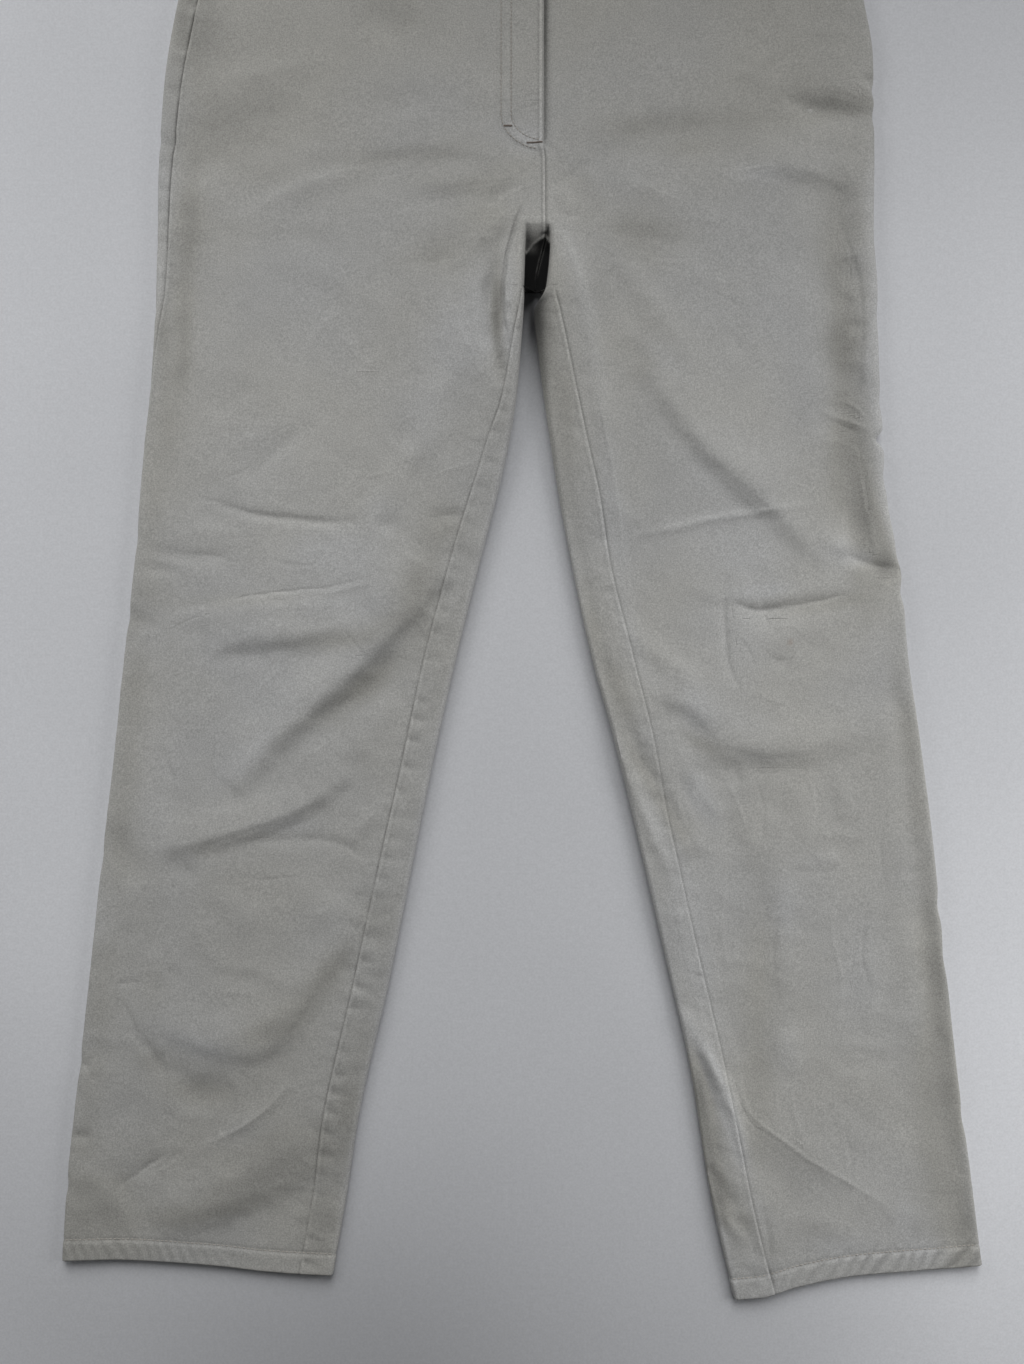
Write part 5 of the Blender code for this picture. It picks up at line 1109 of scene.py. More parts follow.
def paint_fork_light_and_shade(X, R, Z, NZ, front, shade, wear_and_sheen):
    """Painted shade for the deep hollow at the fork: painted shade on the cloth above, a painted highlight on a rolled
    edge, then a pocket painted near black where no light reaches, with the seam's two lines just showing."""
    side = np.abs(X + 5.2)                    # half width about 8
    here = (R < 4.0) & (R > WEB_END - 0.03) & (NZ > -0.5)
    peak = np.interp(X, (-14.0, -12.5, -8.0, -3.0, 0.2, 2.2, 4.0), (-16.5, -15.2, -10.0, -7.0, -5.6, -8.0, -10.0))
    deep = smooth(peak + 0.2, peak - 1.0, R)
    down_in = smooth(9.6, 7.4, Z) if front else 1.0
    lines = np.interp(R, (-42.0, -38.0, -31.0, -22.0, -14.0, -7.0), (-6.6, -6.3, -5.6, -3.5, -1.4, 0.7))
    seam = np.exp(-((X - lines - 0.6) / 0.35) ** 2) + 0.8 * np.exp(-((X - lines + 1.0) / 0.3) ** 2)
    seam = seam * (0.6 + 0.4 * PUCK(X * 3, R * 2.0))
    pocket = deep * (1.0 - 0.30 * np.clip(seam, 0, 1) * smooth(-36.0, -26.0, R))
    upper = 0.13 * smooth(2.4, 1.0, R) + 0.42 * smooth(-0.5, -9.0, R) + 0.26 * np.exp(-((X + 12.0) / 2.4) ** 2) * smooth(3.0, 1.6, R)
    upper += 0.8 * np.exp(-(((X - 2.0) / 1.3) ** 2 + ((R + 1.6) / 3.0) ** 2))
    upper += 0.8 * np.exp(-(((X - 0.3) / 2.8) ** 2 + ((R + 4.2) / 1.3) ** 2))
    roll = np.exp(-((R - peak - 0.7) / 0.7) ** 2) * smooth(11.0, 9.0, side)
    upper = upper * (1.0 - 0.75 * roll)
    level = smooth(-11.0, -6.0, R)            # near its top the hollow ends in crisp corners
    inside = level * smooth(9.0, 7.8, side) + (1 - level) * down_in
    fork = np.where(here, np.maximum(pocket * down_in, np.clip(upper, 0, 0.9) * (1 - deep) * inside), 0.0)
    fork = fork * smooth(17.0, 14.0, side)
    fork = fork * (1.0 - 0.26 * np.exp(-((X + 8.8) / 3.6) ** 2 - ((R + 12.5) / 2.8) ** 2))
    lip = smooth(WEB_END - 6.0, WEB_END - 2.0, R) * (R < WEB_END) * smooth(11.0, 8.5, np.abs(X + 5.2))
    fork = np.maximum(fork, 0.92 * lip * smooth(12.5, 9.0, Z))
    if not front:
        # painted shade: the back's turn below the pocket is painted dark against the other leg, and so is the strip
        # beside it
        wedge = smooth(-74.0, -46.0, R) * (R < WEB_END) * smooth(13.0, 8.0, np.abs(X + 6.0))
        low = smooth(10.0, 3.0, Z) * (NZ > -0.6)
        fork = np.maximum(fork, 0.9 * wedge * low)
        shade = shade + 0.9 * smooth(-112.0, -60.0, R) * (R < WEB_END) * smooth(6.5, 1.0, np.abs(X + 6.5)) * (NZ > 0)
    return shade, wear_and_sheen + here * roll * 0.8, fork


def web_line(R):
    """Height of the web's floor, ring by ring."""
    depth = smooth(4.0, -16.0, R)
    floor = 3.6 - 1.1 * smooth(-16.0, -42.0, R)
    top = curve(CENTRE[:, 0], CENTRE[:, 1], R)
    return top + (floor - top) * depth


def fly_distance(x, y, off):
    """Distance from the fly's stitching line, off millimetres inside its
    outer edge: a straight run, then a quarter ellipse to the edge."""
    w = FLY_WIDTH - off
    knee, foot = FLY_END + 25.0, FLY_END + off * 0.9
    straight = np.abs(x + w)
    hgt = knee - foot
    rx, ry = x / w, (knee - y) / hgt
    ell = np.abs(np.hypot(rx, np.maximum(ry, 0)) - 1.0) * min(w, hgt)
    return np.where(y >= knee, straight, ell)


def fly_distance_in(x, y):
    """How far a point lies inside the fly's outer line, 0 outside."""
    knee, hgt = FLY_END + 25.0, 25.0
    flat = x + FLY_WIDTH
    ell = (1.0 - np.hypot(x / FLY_WIDTH, np.maximum(knee - y, 0) / hgt)) * 24.0
    return np.maximum(np.where(y >= knee, flat, ell), 0.0)


# ---------------------------------------------------------------- meshing
def to_row(x, y, z):
    return np.stack([(x + SX) * MM, (y + SY) * MM, z * MM], -1)


def grid_normals(P, flip):
    du = np.gradient(P, axis=1)
    dv = np.gradient(P, axis=0)
    n = np.cross(du, dv)
    n /= np.maximum(np.linalg.norm(n, axis=-1, keepdims=True), 1e-12)
    return -n if flip else n


def shell_mesh(name, P, wall, flip, attrs, keep_up=None):
    """Closed thin shell: fine outer grid, inner grid at half its density,
    rims between them.  flip turns the outer faces over."""
    n, m = P.shape[:2]
    N = grid_normals(P, flip)
    inner = (P - N * wall[..., None] * MM)[::2, ::2]
    if keep_up is not None:
        inner[..., 2] = np.maximum(inner[..., 2], keep_up * MM)
    ni, mi = inner.shape[:2]
    verts = np.vstack([P.reshape(-1, 3), inner.reshape(-1, 3)])
    idx = np.arange(n * m).reshape(n, m)
    jdx = n * m + np.arange(ni * mi).reshape(ni, mi)
    quads = np.stack([idx[:-1, :-1], idx[:-1, 1:], idx[1:, 1:], idx[1:, :-1]], -1).reshape(-1, 4)
    iq = np.stack([jdx[:-1, :-1], jdx[1:, :-1], jdx[1:, 1:], jdx[:-1, 1:]], -1).reshape(-1, 4)
    tris = []

    def rim(f, c, turn):
        a, b, d = f[:-1:2], f[1::2], f[2::2]
        p, q = c[:-1], c[1:]
        sets = [np.stack([a, p, b], 1), np.stack([b, p, q], 1), np.stack([b, q, d], 1)]
        t = np.vstack(sets)
        tris.append(t[:, ::-1] if turn else t)
    rim(idx[0], jdx[0], False)
    rim(idx[-1], jdx[-1], True)
    rim(idx[:, 0], jdx[:, 0], True)
    rim(idx[:, -1], jdx[:, -1], False)
    tris = np.vstack(tris)
    if flip:
        quads, iq, tris = quads[:, ::-1], iq[:, ::-1], tris[:, ::-1]
    mesh = bpy.data.meshes.new(name)
    nq, nt = len(quads) + len(iq), len(tris)
    mesh.vertices.add(len(verts))
    mesh.vertices.foreach_set("co", verts.astype(np.float32).ravel())
    loops = np.concatenate([quads.ravel(), iq.ravel(), tris.ravel()]).astype(np.int32)
    mesh.loops.add(len(loops))
    mesh.loops.foreach_set("vertex_index", loops)
    mesh.polygons.add(nq + nt)
    starts = np.concatenate([np.arange(nq) * 4, nq * 4 + np.arange(nt) * 3]).astype(np.int32)
    mesh.polygons.foreach_set("loop_start", starts)
    mesh.polygons.foreach_set("use_smooth", np.ones(nq + nt, bool))
    mesh.update(calc_edges=True)
    mesh.validate()
    for key, val in attrs.items():
        at = mesh.attributes.new(key, "FLOAT", "POINT")
        under = val[::2, ::2] * 0.5
        # the fork's painted shade is spread a little and kept at full strength on the inner side
        if key == "fork":                    # the hollow is as dark through the cloth
            wide = np.maximum(np.maximum(val, np.roll(val, 1, 0)), np.roll(val, -1, 0))
            under = np.maximum(wide, np.maximum(np.roll(wide, 1, 1), np.roll(wide, -1, 1)))[::2, ::2]
        data = np.concatenate([val.ravel(), under.ravel()]).astype(np.float32)
        at.data.foreach_set("value", data)
    mesh.set_sharp_from_angle(angle=math.radians(62))
    ob = bpy.data.objects.new(name, mesh)
    bpy.context.scene.collection.objects.link(ob)
    return ob


# ------------------------------------------------------------- materials
class Tree:
    """Short ways to write a material's nodes."""

    def __init__(self, name):
        self.m = bpy.data.materials.new(name)
        self.m.use_nodes = True
        self.t = self.m.node_tree
        self.p = self.t.nodes["Principled BSDF"]
        self.obj = self.t.nodes.new("ShaderNodeTexCoord").outputs["Object"]

    def put(self, socket, value):
        if isinstance(value, bpy.types.NodeSocket):
            self.t.links.new(value, socket)
        else:
            socket.default_value = value

    def math(self, op, a, b=0.0, c=None):
        n = self.t.nodes.new("ShaderNodeMath")
        n.operation = op
        self.put(n.inputs[0], a)
        self.put(n.inputs[1], b)
        if c is not None:
            self.put(n.inputs[2], c)
        return n.outputs[0]

    def clamp(self, a):
        n = self.t.nodes.new("ShaderNodeClamp")
        self.put(n.inputs[0], a)
        return n.outputs[0]

    def span(self, v, a, b, c=0.0, d=1.0):
        n = self.t.nodes.new("ShaderNodeMapRange")
        self.put(n.inputs["Value"], v)
        for key, val in (("From Min", a), ("From Max", b), ("To Min", c), ("To Max", d)):
            n.inputs[key].default_value = val
        return n.outputs["Result"]

    def mix(self, fac, a, b, blend="MIX"):
        n = self.t.nodes.new("ShaderNodeMix")
        n.data_type = "RGBA"
        n.blend_type = blend
        self.put(n.inputs["Factor"], fac)
        self.put(n.inputs[6], a)
        self.put(n.inputs[7], b)
        return n.outputs[2]

    def grey(self, v):
        n = self.t.nodes.new("ShaderNodeCombineColor")
        for k in range(3):
            self.put(n.inputs[k], v)
        return n.outputs[0]

    def place(self, rotate=0.0, scale=(1.0, 1.0, 1.0), move=(0.0, 0.0, 0.0)):
        n = self.t.nodes.new("ShaderNodeMapping")
        self.put(n.inputs["Vector"], self.obj)
        n.inputs["Rotation"].default_value = (0.0, 0.0, rotate)
        n.inputs["Scale"].default_value = scale
        n.inputs["Location"].default_value = move
        return n.outputs[0]

    def noise(self, scale, detail=2.0, rough=0.5, vector=None):
        n = self.t.nodes.new("ShaderNodeTexNoise")
        self.put(n.inputs["Vector"], self.obj if vector is None else vector)
        n.inputs["Scale"].default_value = scale
        n.inputs["Detail"].default_value = detail
        n.inputs["Roughness"].default_value = rough
        return n.outputs["Fac"]

    def wave(self, scale, vector, distortion=0.0):
        n = self.t.nodes.new("ShaderNodeTexWave")
        n.wave_type = "BANDS"
        n.bands_direction = "X"
        self.put(n.inputs["Vector"], vector)
        n.inputs["Scale"].default_value = scale
        n.inputs["Distortion"].default_value = distortion
        n.inputs["Detail"].default_value = 1.0
        return n.outputs["Fac"]

    def mask(self, name):
        n = self.t.nodes.new("ShaderNodeAttribute")
        n.attribute_name = name
        return n.outputs["Fac"]

    def bump(self, height, distance, strength=1.0, after=None):
        n = self.t.nodes.new("ShaderNodeBump")
        n.inputs["Strength"].default_value = strength
        n.inputs["Distance"].default_value = distance
        self.put(n.inputs["Height"], height)
        if after is not None:
            self.put(n.inputs["Normal"], after)
        return n.outputs[0]


CLOTH_COLOUR = (0.462, 0.461, 0.448)
BROWN = (0.16, 0.09, 0.055)


def cloth_material(name, tone=1.0, twill=1.0):
    t = Tree(name)
    t.p.inputs["Roughness"].default_value = 0.92
    t.p.inputs["Sheen Weight"].default_value = 0.06
    t.p.inputs["Sheen Roughness"].default_value = 0.6
    t.p.inputs["Specular IOR Level"].default_value = 0.25
    # dye: broad warm and cool clouds, then washed mottling, then yarns
    cloud = t.noise(7.0, 2.0, 0.5)
    # the fade mask holds painted light and shade; painted-light patches also turn cooler and painted-shade ones warmer
    fade = t.mask("fade")
    warm = t.clamp(t.math("SUBTRACT", t.span(cloud, 0.35, 0.65, 0.15, 0.85), t.math("MULTIPLY", fade, 3.0)))
    base = t.mix(warm, tuple(c * k for c, k in zip(CLOTH_COLOUR, (0.988, 0.993, 1.012))) + (1.0,),
                 tuple(c * k for c, k in zip(CLOTH_COLOUR, (1.013, 1.001, 0.964))) + (1.0,))
    mottle = t.span(t.noise(105.0, 3.0, 0.6), 0.3, 0.7, 0.977, 1.023)
    patch = t.span(t.noise(28.0, 2.0, 0.5), 0.3, 0.7, 0.98, 1.02)
    yarn_v = t.place(math.radians(62), (1500.0, 420.0, 900.0))
    yarn = t.span(t.noise(1.0, 2.0, 0.6, yarn_v), 0.25, 0.75, 0.925, 1.075)
    slub = t.span(t.noise(1000.0, 1.0, 0.6), 0.3, 0.7, 0.825, 1.175)
    neps = t.span(t.noise(330.0, 2.0, 0.6), 0.3, 0.7, 0.985, 1.015)
    shade = t.math("MULTIPLY", t.math("MULTIPLY", mottle, patch), t.math("MULTIPLY", yarn, slub))
    shade = t.math("MULTIPLY", t.math("MULTIPLY", shade, neps), tone)
    # painted light and shade: the fade mask lightens or darkens the colour
    shade = t.math("MULTIPLY", shade, t.math("ADD", fade, 1.0))
    wear_and_sheen, painted_shade, fork = t.mask("wear_and_sheen"), t.mask("shade"), t.mask("fork")
    wear_and_sheen = t.math("MULTIPLY", wear_and_sheen, t.span(t.noise(240.0, 2.0, 0.6), 0.3, 0.7, 0.4, 1.0))
    # painted highlight, with some rubbed wear, lightens the colour
    shade = t.math("MULTIPLY", shade, t.math("MULTIPLY_ADD", wear_and_sheen, 0.17, 1.0))
    # painted shade darkens the colour in grooves, seams, puckers and troughs
    shade = t.math("MULTIPLY", shade, t.math("MULTIPLY_ADD", painted_shade, -0.22, 1.0))
    # fine creases: a rounded line across the stored distance, bumped, and painted darker in a trough and lighter on a
    # ridge as shade and highlight
    u, high = t.mask("crease"), t.mask("crease_h")
    line = t.math("MULTIPLY", high, t.math("EXPONENT", t.math("MULTIPLY", t.math("MULTIPLY", u, u), -1.0)))
    shade = t.math("MULTIPLY", shade, t.math("MULTIPLY_ADD", line, 0.10, 1.0))
    colour = t.mix(1.0, base, t.grey(shade), "MULTIPLY")
    # the fork mask paints near black shade: the fork's hollow, the gap beside the fly's edge, the gap at the left leg's
    # inner edge and the buttonhole's slit
    colour = t.mix(fork, colour, (0.0035, 0.0035, 0.0035, 1.0))
    colour = t.mix(t.mask("spot"), colour, (0.30, 0.17, 0.10, 1.0))
    t.put(t.p.inputs["Base Color"], colour)
    # weave: steep twill lines, yarns, a soft handle
    ribs = t.wave(1.0, t.place(math.radians(62), (760.0, 760.0, 760.0)), 0.6)
    h = t.math("ADD", t.math("MULTIPLY", ribs, 0.45 * twill), t.math("MULTIPLY", t.noise(1400.0, 1.0, 0.5), 0.5))
    fine = t.bump(h, 0.00012, 0.7)
    crumple = t.noise(190.0, 3.0, 0.55)
    soft = t.bump(crumple, 0.00028, 0.8, fine)
    t.put(t.p.inputs["Normal"], t.bump(line, 0.0008, 1.0, soft))
    return t.m


def thread_material(name, colour):
    t = Tree(name)
    t.p.inputs["Roughness"].default_value = 0.7
    t.p.inputs["Sheen Weight"].default_value = 0.1
    n = t.span(t.noise(900.0, 2.0, 0.6), 0.3, 0.7, 0.85, 1.15)
    t.put(t.p.inputs["Base Color"], t.mix(1.0, (*colour, 1.0), t.grey(n), "MULTIPLY"))
    ply = t.wave(1.0, t.place(math.radians(35), (900.0, 900.0, 900.0)))
    t.put(t.p.inputs["Normal"], t.bump(ply, 0.00008, 0.6))
    return t.m


def tape_material():
    t = Tree("zip_tape_weave")
    t.p.inputs["Roughness"].default_value = 0.8
    n = t.span(t.noise(500.0, 3.0, 0.6), 0.3, 0.7, 0.9, 1.1)
    t.put(t.p.inputs["Base Color"], t.mix(1.0, (0.30, 0.29, 0.26, 1.0), t.grey(n), "MULTIPLY"))
    rib = t.wave(1.0, t.place(0.0, (420.0, 420.0, 420.0)))
    t.put(t.p.inputs["Normal"], t.bump(rib, 0.00015, 0.8))
    return t.m


def metal_material():
    t = Tree("zip_brass")
    t.p.inputs["Metallic"].default_value = 1.0
    wear_and_sheen = t.noise(340.0, 3.0, 0.6)
    t.put(t.p.inputs["Base Color"], t.mix(t.span(wear_and_sheen, 0.35, 0.65), (0.50, 0.40, 0.24, 1.0), (0.62, 0.52, 0.34, 1.0)))
    t.put(t.p.inputs["Roughness"], t.span(wear_and_sheen, 0.3, 0.7, 0.28, 0.5))
    t.put(t.p.inputs["Normal"], t.bump(t.noise(1500.0, 2.0, 0.5), 0.00005, 0.4))
    return t.m


def button_material():
    t = Tree("button_horn")
    swirl = t.wave(1.0, t.place(0.7, (130.0, 130.0, 130.0)), 5.0)
    cloud = t.noise(300.0, 3.0, 0.6)
    k = t.math("ADD", t.math("MULTIPLY", swirl, 0.6), t.math("MULTIPLY", cloud, 0.4))
    t.put(t.p.inputs["Base Color"], t.mix(t.span(k, 0.3, 0.7), (0.105, 0.095, 0.082, 1.0), (0.235, 0.215, 0.185, 1.0)))
    t.put(t.p.inputs["Roughness"], t.span(cloud, 0.3, 0.7, 0.26, 0.42))
    t.p.inputs["Coat Weight"].default_value = 0.15
    t.put(t.p.inputs["Normal"], t.bump(t.noise(1100.0, 2.0, 0.5), 0.00003, 0.4))
    return t.m


def floor_material():
    t = Tree("floor_paper")
    t.p.inputs["Roughness"].default_value = 0.95
    t.p.inputs["Specular IOR Level"].default_value = 0.2
    n = t.span(t.noise(9.0, 3.0, 0.5), 0.3, 0.7, 0.985, 1.015)
    grain = t.math("MULTIPLY", t.span(t.noise(620.0, 1.0, 0.6), 0.3, 0.7, 0.955, 1.045),
                   t.span(t.noise(230.0, 2.0, 0.6), 0.3, 0.7, 0.975, 1.025))
    n = t.math("MULTIPLY", n, grain)
    # painted shadow where the amount is above 0, painted light where it is below 0
    for cx, cy, rx, ry, dim in FLOOR_PAINTED_LIGHT:
        split = t.t.nodes.new("ShaderNodeSeparateXYZ")
        t.put(split.inputs[0], t.obj)
        dx = t.math("DIVIDE", t.math("SUBTRACT", split.outputs[0], cx), rx)
        dy = t.math("DIVIDE", t.math("SUBTRACT", split.outputs[1], cy), ry)
        far = t.math("ADD", t.math("MULTIPLY", dx, dx), t.math("MULTIPLY", dy, dy))
        near = t.math("EXPONENT", t.math("MULTIPLY", far, -1.0))
        n = t.math("MULTIPLY", n, t.math("MULTIPLY_ADD", near, -dim, 1.0))
    t.put(t.p.inputs["Base Color"], t.mix(1.0, (0.70, 0.71, 0.738, 1.0), t.grey(n), "MULTIPLY"))
    return t.m


# painted shadows and painted light on the floor's colour: centre x, y, radii (m), amount (above 0 darker, below 0
# lighter)
FLOOR_PAINTED_LIGHT = ((-0.06, -0.60, 0.26, 0.17, 0.36), (0.006, 0.182, 0.022, 0.046, 0.60), (0.006, 0.09, 0.03, 0.05, 0.07),
                (0.0075, 0.1700, 0.0036, 0.018, 0.8), (0.33, -0.50, 0.12, 0.26, -0.25), (0.33, -0.03, 0.12, 0.12, 0.05),
                (0.33, 0.19, 0.10, 0.12, -0.08), (-0.335, -0.235, 0.09, 0.15, -0.10),
                (-0.33, 0.36, 0.12, 0.14, 0.08), (0.05, -0.56, 0.10, 0.12, -0.14))
MAT_CLOTH = cloth_material("cloth_twill")
MAT_BAND = cloth_material("cloth_band", 0.985, 1.0)
MAT_FACING = cloth_material("cloth_facing", 0.93, 0.8)
MAT_THREAD = thread_material("thread_grey", (0.42, 0.39, 0.35))
MAT_TACK = thread_material("thread_brown", (0.20, 0.165, 0.14))
MAT_TAPE, MAT_METAL = tape_material(), metal_material()
MAT_BUTTON, MAT_FLOOR = button_material(), floor_material()


# ------------------------------------------------------------ the panels
def take(ob, mat, slot_name, *nodes_):
    ob.data.materials.clear()
    ob.data.materials.append(mat)
    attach(ob, "root")
    if nodes_:
        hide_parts(*nodes_)
    return ob


panels = {}
grids = {}
for leg in ("right", "left"):
    for which in ("front", "back"):
        g = shape_strip(build_strip(leg, which))
        name = "%s_%s" % (which, leg)
        P = to_row(g["X"], g["Y"], g["Z"])
        g["masks"]["spot"] = np.zeros_like(g["X"])
        if name == "front_left":
            spot = np.exp(-(((g["X"] - 170.3) / 2.0) ** 2 + ((g["Y"] + 286.5) / 1.4) ** 2) ** 1.5)
            g["masks"]["spot"] = 0.42 * spot
        flip = (leg == "right") == (which == "front")
        ob = shell_mesh(name + "_cloth", P, g["wall"], flip, g["masks"])
        panels[name] = take(ob, MAT_CLOTH, "trouser_cloth", name)
        grids[name] = g


def tree_of(*obs):
    """One search tree over several meshes."""
    verts, polys, base = [], [], 0
    for ob in obs:
        me = ob.data
        co = np.empty(len(me.vertices) * 3, np.float32)
        me.vertices.foreach_get("co", co)
        verts.extend(map(tuple, co.reshape(-1, 3).tolist()))
        polys.extend([tuple(base + v for v in p.vertices) for p in me.polygons])
        base += len(me.vertices)
    return BVHTree.FromPolygons(verts, polys)


def drop(tree, x, y, up=False):
    """Where a needle at plan x, y (mm, layout) meets the cloth, with the
    surface normal; from above, or from below."""
    z = -0.05 if up else 0.08
    hit, normal, _, _ = tree.ray_cast(Vector(((x + SX) * MM, (y + SY) * MM, z)), Vector((0, 0, 1.0 if up else -1.0)))
    if hit is None:
        return None, None
    if (normal.z < 0) != up:
        normal = -normal
    return np.array(hit), np.array(normal)


# -------------------------------------------------------------- waistband
def band(name, legs, lift, wall, node, ends=(True, True)):
    """legs lists (leg, function giving the lengths across a ring)."""
    low, high = WAIST_SEAM + 0.35, WAIST_SEAM + BAND_HEIGHT
    t = np.concatenate([[0, 0.3, 0.8, 1.5, 2.4], np.arange(3.6, high - low - 3.0, 1.4)])
    t = np.concatenate([t, high - low - np.array([2.4, 1.5, 0.8, 0.3, 0.0])])
    if len(t) % 2 == 0:
        t = np.insert(t, 8, (t[7] + t[8]) / 2)
    rows = (low + t)[::-1]
    X, Y, Z, NX, NZ, S = [], [], [], [], [], []
    for ring in rows:
        xs, zs, nx, nz, sl = [], [], [], [], []
        for leg, places in legs:
            sec = Section(leg, ring)
            s = places(sec)
            px, pz, qx, qz = sec.points(s)
            xs.append(px), zs.append(pz), nx.append(qx), nz.append(qz), sl.append(s)
        X.append(np.concatenate(xs)), Z.append(np.concatenate(zs))
        NX.append(np.concatenate(nx)), NZ.append(np.concatenate(nz)), S.append(np.concatenate(sl))
        Y.append(np.full_like(X[-1], ring))
    X, Y, Z, NX, NZ, S = map(np.array, (X, Y, Z, NX, NZ, S))
    R = np.repeat(rows[:, None], X.shape[1], 1)
    Y = Y + np.where(S < 0, BACK_RISE * np.cos(np.minimum(np.abs(X + 15.0) / 215.0, 1.0) * math.pi / 2) ** 2, 0.0)
    Z = Z + lift(X)
    up, down = smooth(0.25, 0.85, NZ), smooth(-0.3, -0.9, NZ)
    Z = Z + up * (0.45 * BIG(X, Y) + 0.22 * MID(X, Y)) * 0.8
    Z = Z + down * np.maximum(0.2 + 0.35 * MID(X + 400, Y), 0.0)
    edge = np.minimum(R - low, high - R)
    bulge = 0.35 * smooth(0.0, 3.0, edge) - 0.45 * np.exp(-((edge - 2.2) / 0.8) ** 2)
    bulge += 0.14 * PUCK(X * 0.8, R * 0.4) * smooth(1.0, 4.0, edge)
    side = np.zeros_like(X)
    if ends[0]:
        side = np.maximum(side, 1 - smooth(0.0, 1.0, np.abs(X - X[:, :1])))
    if ends[1]:
        side = np.maximum(side, 1 - smooth(0.0, 1.0, np.abs(X - X[:, -1:])))
    bulge -= 0.7 * side ** 2 + 0.7 * smooth(0.9, 0.0, edge) ** 2
    bulge = np.where(NZ < -0.2, np.minimum(bulge - 0.2, 0.0) * 0.9, bulge)
    if name == "waistband_front_right_cloth":
        dx = np.maximum(np.abs(X + 21.0) - 9.0, 0.0)
        bulge -= 0.75 * np.exp(-(np.hypot(dx, R - (WAIST_SEAM + BAND_HEIGHT / 2)) / 0.7) ** 2)
    Z = np.maximum(Z + NZ * bulge, 0.0)
    X = X + NX * bulge
    flip = legs[0][0] == "right" and name != "waistband_back_cloth"
    if name == "waistband_back_cloth":
        flip = False
    # painted highlight, with rubbed wear, on the band's rounded edges; painted shade in the stitch grooves
    wear_and_sheen = smooth(1.6, 0.2, edge) * 0.9
    masks = dict(wear_and_sheen=wear_and_sheen, shade=np.exp(-((edge - 2.2) / 0.8) ** 2) * 0.6,
                 fork=np.zeros_like(X), spot=np.zeros_like(X), fade=np.full_like(X, -0.07),
                 crease=np.full_like(X, 3.0), crease_h=np.zeros_like(X))
    # the buttonhole's slit is painted near black as shade
    if name == "waistband_front_right_cloth":
        slot_ = np.exp(-(np.hypot(np.maximum(np.abs(X + 21.0) - 9.0, 0.0), R - (WAIST_SEAM + BAND_HEIGHT / 2)) / 0.5) ** 2)
        masks["fork"] = 0.85 * slot_
    P = to_row(X, Y, Z)
    ob = shell_mesh(name, P, np.full_like(X, wall), flip, masks)
    take(ob, MAT_BAND, "trouser_cloth", node)
    return ob


def odd(a, b, n, fine=(0.0, 0.4, 0.9, 1.6)):
    """Places from a to b, closer at both ends, an odd number of them."""
    sign, width = (1.0, b - a) if b > a else (-1.0, a - b)
    f = np.array(fine)
    inside = np.linspace(f[-1], width - f[-1], n - 2 * (len(f) - 1))
    d = np.concatenate([f[:-1], inside, (width - f[:-1])[::-1]])
    return a + sign * d


def band_lift(x):
    return 2.3 * smooth(-39.0, -31.5, x)


def rf(sec):
    return odd(sec.outseam() + 0.15, sec.top_at(abs(EDGE_X - 0.2 - sec.outer)), 165)


def lf(sec):
    return odd(sec.outseam() + 0.15, sec.top_len + 30.0, 171)


def rb(sec):
    return odd(sec.outseam() - 0.15, -sec.under_len + 1.0, 162, (0.0, 0.4, 0.9, 1.6))


def lb(sec):
    return odd(-sec.under_len + 1.0, sec.outseam() - 0.15, 163, (0.0, 0.4, 0.9, 1.6))


bands = {
    "front_right": band("waistband_front_right_cloth", [("right", rf)], band_lift, BAND_WALL, "waistband_front_right"),
    "front_left": band("waistband_front_left_cloth", [("left", lf)], lambda x: 0.0 * x, BAND_WALL, "waistband_front_left"),
    "back": band("waistband_back_cloth", [("right", rb), ("left", lb)], lambda x: 0.0 * x, BAND_WALL, "waistband_back"),
}

# -------------------------------------------------- fly facing, zip tapes
right_front, left_front = tree_of(panels["front_right"]), tree_of(panels["front_left"])


def strip_mesh(name, rows, xs_of, z_of, wall, mat, slot_name, node):
    """A flat strip: rows of y, a function of y for the places across, and
    one for its height."""
    X, Y, Z = [], [], []
    for y in rows:
        xs = xs_of(y)
        X.append(xs), Y.append(np.full_like(xs, y)), Z.append([z_of(x, y) for x in xs])
    X, Y, Z = map(np.array, (X, Y, Z))
    zero = np.zeros_like(X)
    ob = shell_mesh(name, to_row(X, Y, Z), np.full_like(X, wall), True,
                    dict(wear_and_sheen=zero, shade=zero, fork=zero, spot=zero, fade=zero,
                         crease=zero + 3.0, crease_h=zero))
    return take(ob, mat, slot_name, node)


def under_right(x, y):
    hit, _ = drop(right_front, min(x, -1.6), y)
    return hit[2] / MM - WALL - 0.35


def under_left(y):
    hit, _ = drop(left_front, 1.6, y)
    return hit[2] / MM - WALL - 0.55


facing_rows = np.linspace(WAIST_SEAM - 1.4, FLY_END + 3.0, 81)
facing = strip_mesh(
    "fly_facing_cloth", facing_rows,
    lambda y: np.linspace(fly_side(max(y, FLY_END + 6.0)) + 0.8, -0.8, 21),
    under_right, 0.6, MAT_FACING, "trouser_cloth", "fly_facing")
tape_rows = np.linspace(233.0, FLY_END + 8.0, 81)
tape_z = {float(y): under_left(float(y)) for y in tape_rows}
tapes = [strip_mesh("zip_tape_%s_weave" % side, tape_rows,
                    lambda y, x0=x0: np.linspace(x0, x0 + 11.0, 9),
                    lambda x, y: tape_z[float(y)], 0.55, MAT_TAPE, "zip_tape", "zip_tape_" + side)
         for side, x0 in (("right", -12.0 - 0.9 - 11.0), ("left", -12.0 + 0.9))]


# ------------------------------------------------------ joined small parts
def joined(name, verts, faces, mat, slot_name, smooth_=True):
    mesh = bpy.data.meshes.new(name)
    mesh.from_pydata([tuple(v) for v in verts], [], [tuple(f) for f in faces])
    mesh.validate()
    mesh.update()
    if smooth_:
        mesh.shade_smooth()
    ob = bpy.data.objects.new(name, mesh)
    bpy.context.scene.collection.objects.link(ob)
    return take(ob, mat, slot_name)


